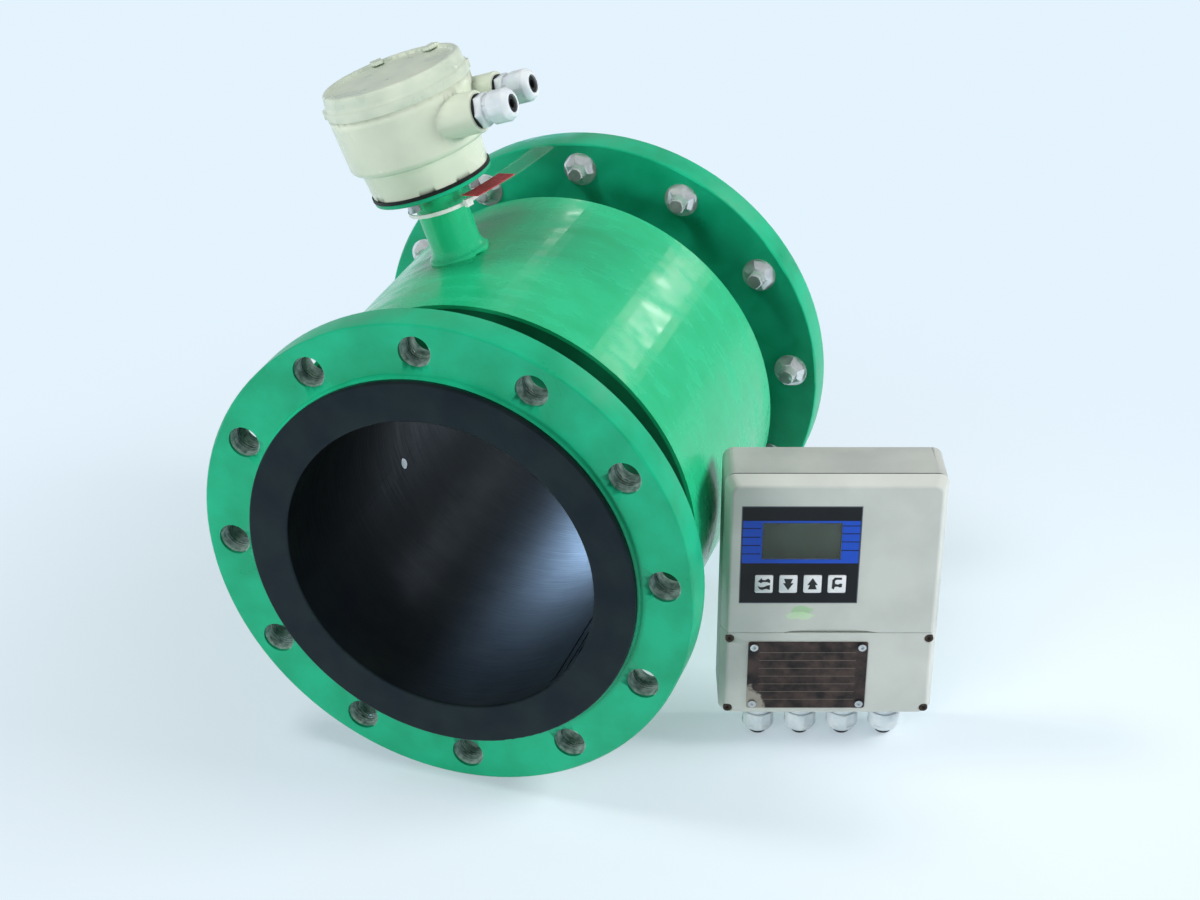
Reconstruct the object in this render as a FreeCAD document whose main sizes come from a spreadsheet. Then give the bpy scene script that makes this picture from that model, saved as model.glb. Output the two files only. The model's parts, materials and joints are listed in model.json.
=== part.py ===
import FreeCAD, Part
import math
import os
import re

import Sketcher
from FreeCAD import Placement, Rotation, Vector

# Split-type electromagnetic flow meter: a flanged, rubber-lined sensor with a round terminal head on a
# leaning neck, and the wall-mounted converter that stands beside it. Millimetres. The row's frame has
# +Y along the flow, +Z up and its origin in the middle of the bore. Sensor pieces are drawn upright,
# with the neck along +Z, and their Placement leans them by neck_lean. Converter pieces are drawn with
# the front face at y = 0 and the bottom at z = 0, and their Placement stands them beside the casing.

sizes = {
    # flow tube and flanges
    "bore": 250,
    "liner_thickness": 6.5,
    "pipe_wall": 5,
    "pipe_length": 400,
    "flange_thickness": 29,
    "flange_edge": 1.5,
    "bolt_circle": 355,
    "bolt_hole": 26,
    "bolt_count": 12,
    "bolt_margin": 9.5,
    "face_od": 320,
    "face_height": 5,
    "face_edge": 3,
    "flare_od": 316,
    "flare_thickness": 5,
    "flare_edge": 2,
    "weld_leg": 6,
    # coil casing and what it covers
    "casing_od": 350,
    "casing_length": 216,
    "casing_wall": 3,
    "casing_end": 6,
    "pole_thickness": 2.6,
    "pole_width": 120,
    "pole_length": 96,
    "coil_width": 150,
    "coil_length": 126,
    "coil_winding": 22,
    "coil_height": 12,
    "coil_corner": 16,
    "yoke_thickness": 3,
    "yoke_length": 70,
    "magnet_gap": 0.3,
    # electrodes
    "electrode_head": 10,
    "electrode_head_height": 1.6,
    "electrode_stem": 6,
    "electrode_reach": 14,
    "electrode_edge": 0.5,
    "bush_od": 12,
    "bush_flange": 18,
    "bush_flange_height": 2.5,
    "electrode_nut": 10,
    "electrode_nut_height": 5,
    "running_gap": 0.2,
    # neck and plate
    "neck_lean": 20,
    "neck_od": 41,
    "neck_wall": 4,
    "neck_weld": 4.5,
    "neck_weld_height": 9,
    "plate_level": 234.8,
    "plate_od": 97,
    "plate_thickness": 3.7,
    "gasket_thickness": 2.8,
    "gasket_od": 98.5,
    "head_screw_circle": 72,
    "head_screw_count": 4,
    "head_screw_angle": 85,
    "head_screw": 5.8,
    "head_screw_head": 10,
    "head_screw_height": 8,
    "head_screw_grip": 6,
    "blind_depth": 1,
    # terminal head, its height measured from the gasket
    "base_od": 96,
    "base_top_od": 100,
    "base_height": 22.3,
    "shoulder_od": 114,
    "shoulder_round": 6,
    "seam_od": 117.6,
    "seam_level": 70.8,
    "head_wall": 5,
    "head_floor": 8,
    "inside_step": 2,
    "base_wall": 5,
    "spigot_od": 106,
    "spigot_wall": 4,
    "spigot_height": 8.5,
    "cable_hole": 28,
    "boss_od": 33,
    "boss_level": 47.7,
    "boss_reach": 73.4,
    "boss_spacing": 43.6,
    "lid_ring": 1.2,
    # lid
    "lid_od": 118.4,
    "lid_gap": 0.3,
    "lid_band": 7,
    "lid_step": 1.4,
    "lid_height": 19,
    "lid_top_od": 113,
    "lid_rim": 5,
    "lid_recess": 2.2,
    "lid_skin": 3,
    "lug_width": 12,
    "lug_height": 1.8,
    "lug_angle_near": 70,
    "lug_angle_far": 128,
    "ear_width": 10,
    "ear_height": 1.2,
    "ear_angle": 27,
    # terminal block in the head
    "block_length": 56,
    "block_width": 22,
    "block_height": 14,
    "block_ways": 5,
    "block_pitch": 10,
    # cable glands
    "gland_thread": 20,
    "gland_grip": 9,
    "gland_bore": 14,
    "gland_hex": 24,
    "gland_hex_height": 6,
    "gland_collar": 22,
    "gland_collar_height": 4,
    "gland_nut_od": 26,
    "gland_nut_height": 17.5,
    "gland_nut_taper": 4.5,
    "gland_nut_end": 19,
    "gland_neck": 19.4,
    "gland_neck_height": 10,
    "gland_washer": 1.6,
    "gland_washer_od": 27,
    "gland_clearance": 0.3,
    "gland_edge": 0.8,
    "gland_flat_depth": 0.6,
    "seal_mouth": 7,
    "seal_mouth_depth": 4,
    "seal_draft": 0.6,
    "seal_recess": 1,
    "seal_reach": 4.5,
    # flange screws, cable tie and tag
    "stud_disc": 29,
    "stud_disc_height": 1,
    "stud_cone_height": 5,
    "stud_hex": 12.5,
    "stud_hex_height": 8.5,
    "stud_end": 11.4,
    "stud_end_height": 1,
    "stud_clearance": 0.3,
    "tie_level": 219.3,
    "tie_radius": 30,
    "tie_band": 3,
    "tie_thickness": 1.3,
    "tie_head": 6,
    "tie_side": -31,
    "tag_width": 20,
    "tag_length": 92,
    "tag_card_length": 44,
    "tag_curl": 600,
    "tag_film": 0.4,
    "tag_card": 0.6,
    "tag_margin": 1,
    "tag_turn": 70,
    "tag_rise": -4,
    "tag_roll": 5,
    # converter
    "converter_gap": 2,
    "converter_y": -68,
    "converter_turn": 19,
    "floor_level": -200,
    "case_width": 172,
    "case_height": 222,
    "case_depth": 52,
    "case_wall": 3,
    "case_round": 9,
    "cover_depth": 11,
    "cover_slope": 5,
    "cover_round": 3,
    "cover_seam": 82.5,
    "seam_gap": 0.5,
    "case_gasket": 1.2,
    "panel_width": 93,
    "panel_height": 89,
    "panel_thickness": 1.2,
    "panel_left": 13,
    "panel_top": 22.5,
    "panel_fit": 0.15,
    "window_width": 61.5,
    "window_height": 33.5,
    "window_left": 16.5,
    "window_top": 15,
    "module_margin": 4,
    "key_width": 14,
    "key_height": 16.3,
    "key_pitch": 19,
    "key_left": 12.2,
    "key_bottom": 10,
    "key_fit": 0.25,
    "key_proud": 0.3,
    "key_flange": 1,
    "key_flange_depth": 1.4,
    "key_travel": 0.4,
    "switch_gap": 0.3,
    "switch_size": 6,
    "board_level": 8.2,
    "board_thickness": 1.6,
    "board_margin": 2,
    "post_od": 6,
    "post_inset": 5.5,
    "plate_width": 95,
    "plate_height": 64,
    "plate_left": 22,
    "plate_bottom": 10,
    "plate_sheet": 0.8,
    "plate_screw_inset": 4.6,
    "plate_screw": 2.8,
    "plate_screw_head": 6.4,
    "plate_screw_height": 1.5,
    "cover_screw": 4,
    "cover_screw_head": 7,
    "cover_screw_inset": 7,
    "cover_screw_high": 77,
    "cover_screw_low": 9.5,
    "cover_screw_length": 26,
    "cover_screw_sink": 2.6,
    "cover_screw_height": 2.2,
    "screw_boss": 10,
    "grip_width": 76,
    "grip_height": 3.6,
    "grip_depth": 1.6,
    "case_gland_pitch": 34.5,
    "case_gland_count": 4,
    "gland_row": 15.5,
    "strip_length": 112,
    "strip_width": 14,
    "strip_height": 16,
    "strip_level": 44,
    "strip_ways": 10,
    "wall_screw": 5,
    "wall_screw_depth": 11,
    "wall_screw_boss": 11,
    "wall_pitch_x": 120,
    "wall_pitch_z": 160,
    "wall_bottom": 31,
}

# sizes that follow from the ones above
derived = {
    "pipe_od": "bore + 2 * (liner_thickness + pipe_wall)",
    "flange_od": "bolt_circle + bolt_hole + 2 * bolt_margin",
}

# how far apart two measures may lie and still be the same place
same_place = 0.01

doc = FreeCAD.newDocument("flow_meter")
sheet = doc.addObject("Spreadsheet::Sheet", "Size")
for row, (alias, number) in enumerate(sizes.items(), 1):
    sheet.set(f"A{row}", alias)
    sheet.set(f"B{row}", str(number))
    sheet.setAlias(f"B{row}", alias)
doc.recompute()
subparts = []


def bound(text):
    """Write a formula in sheet names as FreeCAD wants it."""
    for name, formula in derived.items():
        text = re.sub(rf"\b{name}\b", f"({formula})", text)
    return re.sub(r"[a-z_]{2,}", lambda word: ("Size." if word.group() in sizes else "") + word.group(), text)


def value(text):
    return float(sheet.evalExpression(bound(text)))


# where pieces stand

converter_x = "casing_od / 2 + converter_gap + case_width / 2 * cos(converter_turn)"
converter_x += " + case_depth * sin(converter_turn)"
gland_reach = "gland_hex_height + gland_collar_height + gland_nut_height + seal_reach"
converter_z = f"floor_level + {gland_reach}"
sensor_frame = Placement(Vector(), Rotation(Vector(0, -1, 0), value("neck_lean")))
converter_frame = Placement(
    Vector(value(converter_x), value("converter_y"), value(converter_z)),
    Rotation(Vector(0, 0, 1), value("converter_turn")),
)


def lean(piece, half_turn=False):
    """Lean a sensor piece with the neck. A half turn puts it on the far side of the pipe."""
    angle = "neck_lean + 180" if half_turn else "neck_lean"
    piece.Placement = Placement(Vector(), Rotation(Vector(0, -1, 0), value(angle)))
    piece.setExpression("Placement.Rotation.Angle", bound(angle))


def stand(piece):
    """Stand a converter piece beside the casing."""
    piece.Placement = converter_frame
    piece.setExpression("Placement.Base.x", bound(converter_x))
    piece.setExpression("Placement.Base.y", bound("converter_y"))
    piece.setExpression("Placement.Base.z", bound(converter_z))
    piece.setExpression("Placement.Rotation.Angle", bound("converter_turn"))


def seat(piece, frame, place, turn):
    """Put a piece with a direction of its own at a place in the sensor's or the converter's frame."""
    piece.Placement = frame.multiply(Placement(Vector(*[value(number) for number in place]), turn))


# drawing and features

def new_body(name, place):
    body = doc.addObject("PartDesign::Body", name)
    body.Label = name
    body.AllowCompound = True
    place(body)
    subparts.append(body)
    return body


def new_sketch(body, role, level=None):
    """A sketch on one of the body's own planes, moved along the plane's normal by level."""
    sketch = body.newObject("Sketcher::SketchObject", f"{body.Name}_sketch")
    plane = next(feature for feature in body.Origin.OriginFeatures if feature.Role == role)
    sketch.AttachmentSupport = [(plane, "")]
    sketch.MapMode = "FlatFace"
    if level:
        sketch.setExpression("AttachmentOffset.Base.z", bound(level))
    return sketch


def fix_point(sketch, shape, point, place):
    for kind, text in zip(("DistanceX", "DistanceY"), place):
        index = sketch.addConstraint(Sketcher.Constraint(kind, -1, 1, shape, point, value(text)))
        sketch.setExpression(f"Constraints[{index}]", bound(text))


def polygon(sketch, points):
    first = sketch.GeometryCount
    corners = [Vector(value(x), value(y), 0) for x, y in points]
    count = len(points)
    for index, corner in enumerate(corners):
        sketch.addGeometry(Part.LineSegment(corner, corners[(index + 1) % count]), False)
    for index in range(count):
        following = first + (index + 1) % count
        sketch.addConstraint(Sketcher.Constraint("Coincident", first + index, 2, following, 1))
        fix_point(sketch, first + index, 1, points[index])


def rectangle(sketch, left, low, right, high):
    polygon(sketch, [(left, low), (right, low), (right, high), (left, high)])


def hexagon(sketch, x, y, flats):
    points = []
    for corner in range(6):
        angle = 60 * corner + 30
        reach = f"({flats}) / sqrt(3)"
        points.append((f"{x} + {reach} * cos({angle})", f"{y} + {reach} * sin({angle})"))
    polygon(sketch, points)


def circle(sketch, x, y, diameter):
    shape = sketch.addGeometry(Part.Circle(Vector(value(x), value(y), 0), Vector(0, 0, 1), 1), False)
    index = sketch.addConstraint(Sketcher.Constraint("Diameter", shape, value(diameter)))
    sketch.setExpression(f"Constraints[{index}]", bound(diameter))
    fix_point(sketch, shape, 3, (x, y))


def axis_line(sketch, start, end):
    """A construction line that a feature can turn about."""
    line = Part.LineSegment(*[Vector(value(x), value(y), 0) for x, y in (start, end)])
    shape = sketch.addGeometry(line, True)
    fix_point(sketch, shape, 1, start)
    fix_point(sketch, shape, 2, end)


def feature(body, kind, **settings):
    made = body.newObject(f"PartDesign::{kind}", f"{body.Name}_{kind.lower()}")
    for name, setting in settings.items():
        setattr(made, name, setting)
    return made


def revolve(body, sketch, axis="V_Axis", kind="Revolution", angle="360"):
    made = feature(body, kind, Profile=sketch, ReferenceAxis=(sketch, [axis]))
    made.setExpression("Angle", bound(angle))
    return made


def pad(body, sketch, length, backwards=False, middle=False):
    made = feature(body, "Pad", Profile=sketch, Reversed=backwards, Midplane=middle)
    made.setExpression("Length", bound(length))
    return made


def pocket(body, sketch, length=None, backwards=False, middle=False):
    """Cut a sketch by a length, or right through both ways. The cut must take something away."""
    doc.recompute()
    before = body.Shape.Volume
    made = feature(body, "Pocket", Profile=sketch, Reversed=backwards)
    if length:
        made.Midplane = middle
        made.setExpression("Length", bound(length))
    else:
        made.Type = "ThroughAll"
        made.Midplane = True
    doc.recompute()
    if not body.Shape.Volume < before:
        raise ValueError(f"{body.Label}: a pocket cuts nothing")
    return made


def repeat(body, features, role, count, angle="360"):
    """Repeat features about one of the body's own axes."""
    axis = next(feature for feature in body.Origin.OriginFeatures if feature.Role == role)
    made = feature(body, "PolarPattern", Originals=features, Axis=(axis, [""]))
    made.setExpression("Angle", bound(angle))
    made.setExpression("Occurrences", bound(count))
    body.Tip = made
    return made


def row_of(body, features, role, count, length):
    axis = next(feature for feature in body.Origin.OriginFeatures if feature.Role == role)
    made = feature(body, "LinearPattern", Originals=features, Direction=(axis, [""]))
    made.setExpression("Length", bound(length))
    made.setExpression("Occurrences", bound(count))
    body.Tip = made
    return made


def dress(body, kind, size, chosen):
    """Fillet or chamfer the edges that chosen accepts."""
    doc.recompute()
    base = body.Tip
    edges = [f"Edge{index}" for index, edge in enumerate(base.Shape.Edges, 1) if chosen(edge)]
    if not edges:
        raise ValueError(f"{body.Label}: no edge to dress")
    made = feature(body, kind, Base=(base, edges))
    made.setExpression("Radius" if kind == "Fillet" else "Size", bound(size))
    return made


def ring_edge(diameter, axis, level):
    """Accept the circle of this diameter about the body's axis (0 x, 1 y, 2 z) at this level."""
    def chosen(edge):
        curve = edge.Curve
        if not isinstance(curve, Part.Circle):
            return False
        centre = curve.Center
        off_axis = math.hypot(*[centre[side] for side in range(3) if side != axis])
        near = abs(curve.Radius - value(diameter) / 2) < same_place and abs(centre[axis] - value(level)) < same_place
        return near and off_axis < same_place
    return chosen


def straight_edge(axis, test):
    """Accept the straight edges along an axis whose middle passes the test."""
    def chosen(edge):
        if not isinstance(edge.Curve, Part.Line):
            return False
        return abs(abs(edge.Curve.Direction[axis]) - 1) < 0.001 and test(edge.CenterOfMass)
    return chosen


def join(name, members):
    """Several separate solids of one kind as one sub-part."""
    made = doc.addObject("Part::Compound", name)
    made.Label = name
    made.Links = members
    for member in members:
        member.Label = f"{name}_member_{members.index(member) + 1}"
        subparts.remove(member)
    subparts.append(made)
    return made


# flow tube, flanges and liner: turned about the pipe's axis, drawn on XY with x as the radius

half_face = "pipe_length / 2"
half_neck = "(pipe_length / 2 - face_height)"
half_inner = "(pipe_length / 2 - face_height - flange_thickness)"


def make_pipe():
    body = new_body("measuring_tube", lean)
    sketch = new_sketch(body, "XY_Plane")
    rectangle(sketch, "pipe_od / 2 - pipe_wall", f"-{half_face}", "pipe_od / 2", half_face)
    revolve(body, sketch)
    holes = new_sketch(body, "YZ_Plane")
    circle(holes, "0", "0", "bush_od + 2 * running_gap")
    pocket(body, holes)


def make_flange(name, side):
    """A slip-on flange with its raised face and its weld to the pipe. side is -1 at the inlet."""
    body = new_body(name, lean)
    sketch = new_sketch(body, "XY_Plane")
    polygon(sketch, [
        ("pipe_od / 2", f"{side} * {half_face}"),
        ("face_od / 2", f"{side} * {half_face}"),
        ("face_od / 2", f"{side} * {half_neck}"),
        ("flange_od / 2", f"{side} * {half_neck}"),
        ("flange_od / 2", f"{side} * {half_inner}"),
        ("pipe_od / 2 + weld_leg", f"{side} * {half_inner}"),
        ("pipe_od / 2", f"{side} * ({half_inner} - weld_leg)"),
    ])
    revolve(body, sketch)
    hole = new_sketch(body, "XZ_Plane")
    across, up = (f"bolt_circle / 2 * {turn}(180 / bolt_count)" for turn in ("sin", "cos"))
    circle(hole, across, up, "bolt_hole")
    first = pocket(body, hole)
    repeat(body, [first], "Y_Axis", "bolt_count")
    dress(body, "Fillet", "face_edge", ring_edge("face_od", 1, f"{side} * {half_face}"))
    outer = ring_edge("flange_od", 1, f"{side} * {half_neck}")
    inner = ring_edge("flange_od", 1, f"{side} * {half_inner}")
    dress(body, "Chamfer", "flange_edge", lambda edge: outer(edge) or inner(edge))


def make_liner():
    body = new_body("liner", lean)
    sketch = new_sketch(body, "XY_Plane")
    end = "(pipe_length / 2 + flare_thickness)"
    polygon(sketch, [
        ("bore / 2", f"-{end}"),
        ("flare_od / 2", f"-{end}"),
        ("flare_od / 2", f"-{half_face}"),
        ("pipe_od / 2 - pipe_wall", f"-{half_face}"),
        ("pipe_od / 2 - pipe_wall", half_face),
        ("flare_od / 2", half_face),
        ("flare_od / 2", end),
        ("bore / 2", end),
    ])
    revolve(body, sketch)
    holes = new_sketch(body, "YZ_Plane")
    circle(holes, "0", "0", "electrode_stem + 2 * running_gap")
    pocket(body, holes)
    seats = new_sketch(body, "YZ_Plane")
    circle(seats, "0", "0", "electrode_head + 2 * running_gap")
    pocket(body, seats, "bore + 2 * electrode_head_height", middle=True)
    picks = [ring_edge(width, 1, f"{side} * {end}") for width in ("bore", "flare_od") for side in (-1, 1)]
    dress(body, "Fillet", "flare_edge", lambda edge: any(pick(edge) for pick in picks))


# coil casing: a rolled shell welded to two end rings

def make_casing():
    shell = new_body("casing_shell", lean)
    sketch = new_sketch(shell, "XY_Plane")
    rectangle(sketch, "casing_od / 2 - casing_wall", "-casing_length / 2", "casing_od / 2", "casing_length / 2")
    revolve(shell, sketch)
    opening = new_sketch(shell, "XY_Plane")
    circle(opening, "0", "0", "neck_od - 2 * neck_wall")
    pocket(shell, opening, "casing_od", backwards=True)
    for name, side in (("casing_end_inlet", -1), ("casing_end_outlet", 1)):
        ring = new_body(name, lean)
        sketch = new_sketch(ring, "XY_Plane")
        polygon(sketch, [
            ("pipe_od / 2", f"{side} * (casing_length / 2 - casing_end)"),
            ("casing_od / 2 - casing_wall", f"{side} * (casing_length / 2 - casing_end)"),
            ("casing_od / 2 - casing_wall", f"{side} * casing_length / 2"),
            ("pipe_od / 2 + weld_leg", f"{side} * casing_length / 2"),
            ("pipe_od / 2", f"{side} * (casing_length / 2 + weld_leg)"),
        ])
        revolve(ring, sketch)


def saddle(name, width, length, inner, outer, half_turn, window=None):
    """A plate or coil bent round the pipe: a flat outline raised and trimmed between two radii."""
    body = new_body(name, lambda piece: lean(piece, half_turn))
    outline = new_sketch(body, "XY_Plane")
    rectangle(outline, f"-{width} / 2", f"-{length} / 2", f"{width} / 2", f"{length} / 2")
    if window:
        rectangle(
            outline,
            f"-({width} / 2 - {window})",
            f"-({length} / 2 - {window})",
            f"{width} / 2 - {window}",
            f"{length} / 2 - {window}",
        )
    pad(body, outline, f"{outer} * 1.2")
    if window:
        outside = value(f"{width} / 2") - same_place
        dress(body, "Fillet", "coil_corner", straight_edge(2, lambda middle: abs(middle.x) > outside))
    trims = new_sketch(body, "XZ_Plane")
    circle(trims, "0", "0", f"2 * ({inner})")
    pocket(body, trims)
    rim = new_sketch(body, "XZ_Plane")
    circle(rim, "0", "0", f"2 * ({outer})")
    circle(rim, "0", "0", f"4 * ({outer})")
    pocket(body, rim)


def make_magnet():
    pole_in = "pipe_od / 2 + magnet_gap"
    coil_in = f"{pole_in} + pole_thickness + magnet_gap"
    yoke_in = f"{coil_in} + coil_height + magnet_gap"
    for side, half_turn in (("upper", False), ("lower", True)):
        pole_out = f"({pole_in} + pole_thickness)"
        saddle(f"pole_plate_{side}", "pole_width", "pole_length", pole_in, pole_out, half_turn)
        saddle(
            f"coil_{side}", "coil_width", "coil_length", coil_in, f"({coil_in} + coil_height)", half_turn,
            "coil_winding",
        )
    yoke = new_body("yoke_band", lean)
    sketch = new_sketch(yoke, "XY_Plane")
    rectangle(sketch, yoke_in, "-yoke_length / 2", f"{yoke_in} + yoke_thickness", "yoke_length / 2")
    revolve(yoke, sketch)


# electrodes: turned about x, drawn on XY with y as the radius

def make_electrodes():
    bushes = []
    nuts = []
    seat_level = "pipe_od / 2 + running_gap"
    nut_level = f"{seat_level} + bush_flange_height"
    for name, side in (("electrode_left", -1), ("electrode_right", 1)):
        pin = new_body(name, lean)
        sketch = new_sketch(pin, "XY_Plane")
        polygon(sketch, [
            (f"{side} * bore / 2", "0"),
            (f"{side} * bore / 2", "electrode_head / 2 - electrode_edge"),
            (f"{side} * (bore / 2 + electrode_edge)", "electrode_head / 2"),
            (f"{side} * (bore / 2 + electrode_head_height)", "electrode_head / 2"),
            (f"{side} * (bore / 2 + electrode_head_height)", "electrode_stem / 2"),
            (f"{side} * (pipe_od / 2 + electrode_reach)", "electrode_stem / 2"),
            (f"{side} * (pipe_od / 2 + electrode_reach)", "0"),
        ])
        revolve(pin, sketch, "H_Axis")
        bush = new_body(f"{name}_bush", lean)
        sketch = new_sketch(bush, "XY_Plane")
        polygon(sketch, [
            (f"{side} * (pipe_od / 2 - pipe_wall + running_gap)", "electrode_stem / 2 + running_gap"),
            (f"{side} * (pipe_od / 2 - pipe_wall + running_gap)", "bush_od / 2"),
            (f"{side} * ({seat_level})", "bush_od / 2"),
            (f"{side} * ({seat_level})", "bush_flange / 2"),
            (f"{side} * ({nut_level})", "bush_flange / 2"),
            (f"{side} * ({nut_level})", "electrode_stem / 2 + running_gap"),
        ])
        revolve(bush, sketch, "H_Axis")
        bushes.append(bush)
        nut = new_body(f"{name}_nut", lean)
        sketch = new_sketch(nut, "YZ_Plane", f"{side} * ({nut_level})")
        hexagon(sketch, "0", "0", "electrode_nut")
        circle(sketch, "0", "0", "electrode_stem + running_gap / 2")
        pad(nut, sketch, "electrode_nut_height", backwards=side < 0)
        nuts.append(nut)
    join("electrode_bushes", bushes)
    join("electrode_nuts", nuts)


# neck, plate, gasket and the screws that hold the head down

head_level = "plate_level + plate_thickness + gasket_thickness"


def screw_holes(body, diameter, length=None, level=None, backwards=False):
    hole = new_sketch(body, "XY_Plane", level)
    place = [f"head_screw_circle / 2 * {turn}(head_screw_angle)" for turn in ("cos", "sin")]
    circle(hole, place[0], place[1], diameter)
    repeat(body, [pocket(body, hole, length, backwards)], "Z_Axis", "head_screw_count")


def make_neck():
    body = new_body("neck_tube", lean)
    sketch = new_sketch(body, "XZ_Plane")
    foot = "casing_od / 2 - neck_od / 4"
    polygon(sketch, [
        ("neck_od / 2 - neck_wall", foot),
        ("neck_od / 2 + neck_weld", foot),
        ("neck_od / 2 + neck_weld", "casing_od / 2 + neck_weld / 4"),
        ("neck_od / 2 + neck_weld * 0.35", "casing_od / 2 + neck_weld_height * 0.4"),
        ("neck_od / 2", "casing_od / 2 + neck_weld_height"),
        ("neck_od / 2", "plate_level"),
        ("neck_od / 2 - neck_wall", "plate_level"),
    ])
    revolve(body, sketch)
    casing = new_sketch(body, "XZ_Plane")
    circle(casing, "0", "0", "casing_od")
    pocket(body, casing)


def make_plate():
    plate = new_body("head_plate", lean)
    sketch = new_sketch(plate, "XY_Plane", "plate_level")
    circle(sketch, "0", "0", "plate_od")
    circle(sketch, "0", "0", "neck_od - 2 * neck_wall")
    pad(plate, sketch, "plate_thickness")
    screw_holes(plate, "head_screw + 2 * running_gap")
    top = ring_edge("plate_od", 2, "plate_level + plate_thickness")
    bottom = ring_edge("plate_od", 2, "plate_level")
    dress(plate, "Fillet", "plate_thickness / 4", lambda edge: top(edge) or bottom(edge))

    gasket = new_body("head_gasket", lean)
    sketch = new_sketch(gasket, "XY_Plane", "plate_level + plate_thickness")
    circle(sketch, "0", "0", "gasket_od")
    circle(sketch, "0", "0", "neck_od - 2 * neck_wall")
    pad(gasket, sketch, "gasket_thickness")
    screw_holes(gasket, "head_screw + 2 * running_gap")

    screws = new_body("head_screws", lean)
    place = [f"head_screw_circle / 2 * {turn}(head_screw_angle)" for turn in ("cos", "sin")]
    shank = new_sketch(screws, "XY_Plane", "plate_level")
    circle(shank, place[0], place[1], "head_screw")
    shank = pad(screws, shank, "plate_thickness + gasket_thickness + head_screw_grip")
    head = new_sketch(screws, "XY_Plane", "plate_level")
    circle(head, place[0], place[1], "head_screw_head")
    head = pad(screws, head, "head_screw_height", backwards=True)
    socket = new_sketch(screws, "XY_Plane", "plate_level - head_screw_height")
    hexagon(socket, place[0], place[1], "head_screw_head / 2")
    socket = pocket(screws, socket, "head_screw_height / 2", backwards=True)
    repeat(screws, [shank, head, socket], "Z_Axis", "head_screw_count")


# terminal head: a casting with two gland bosses, turned outside and bored inside

def make_head():
    body = new_body("head_body", lean)
    outside = new_sketch(body, "XZ_Plane")
    seam = f"{head_level} + seam_level"
    polygon(outside, [
        ("0", head_level),
        ("base_od / 2", head_level),
        ("base_top_od / 2", f"{head_level} + base_height"),
        ("shoulder_od / 2", f"{head_level} + base_height"),
        ("seam_od / 2", seam),
        ("spigot_od / 2", seam),
        ("spigot_od / 2", f"{seam} + spigot_height"),
        ("0", f"{seam} + spigot_height"),
    ])
    revolve(body, outside)
    dress(body, "Fillet", "shoulder_round", ring_edge("shoulder_od", 2, f"{head_level} + base_height"))
    bosses = new_sketch(body, "YZ_Plane", "boss_reach / 2")
    for side in (-1, 1):
        circle(bosses, f"{side} * boss_spacing / 2", f"{head_level} + boss_level", "boss_od")
    pad(body, bosses, "boss_reach / 2")
    dress(body, "Fillet", "head_wall / 4", is_boss_rim)
    inside = new_sketch(body, "XZ_Plane")
    polygon(inside, [
        ("0", f"{head_level} + head_floor"),
        ("base_od / 2 - base_wall", f"{head_level} + head_floor"),
        ("base_od / 2 - base_wall", f"{head_level} + base_height + inside_step"),
        ("spigot_od / 2 - spigot_wall", f"{head_level} + base_height + head_wall + inside_step"),
        ("spigot_od / 2 - spigot_wall", f"{seam} + 2 * spigot_height"),
        ("0", f"{seam} + 2 * spigot_height"),
    ])
    revolve(body, inside, kind="Groove")
    entries = new_sketch(body, "YZ_Plane", "boss_reach / 3")
    for side in (-1, 1):
        circle(entries, f"{side} * boss_spacing / 2", f"{head_level} + boss_level", "gland_thread + running_gap")
    pocket(body, entries, "boss_reach", backwards=True)
    floor = new_sketch(body, "XY_Plane", head_level)
    circle(floor, "0", "0", "cable_hole")
    pocket(body, floor, "head_floor", backwards=True)
    screw_holes(body, "head_screw + 2 * running_gap", "head_screw_grip + blind_depth", head_level, backwards=True)


def is_boss_rim(edge):
    curve = edge.Curve
    if not isinstance(curve, Part.Circle):
        return False
    same_size = abs(curve.Radius - value("boss_od / 2")) < same_place
    return same_size and abs(curve.Center.x - value("boss_reach")) < same_place


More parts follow.
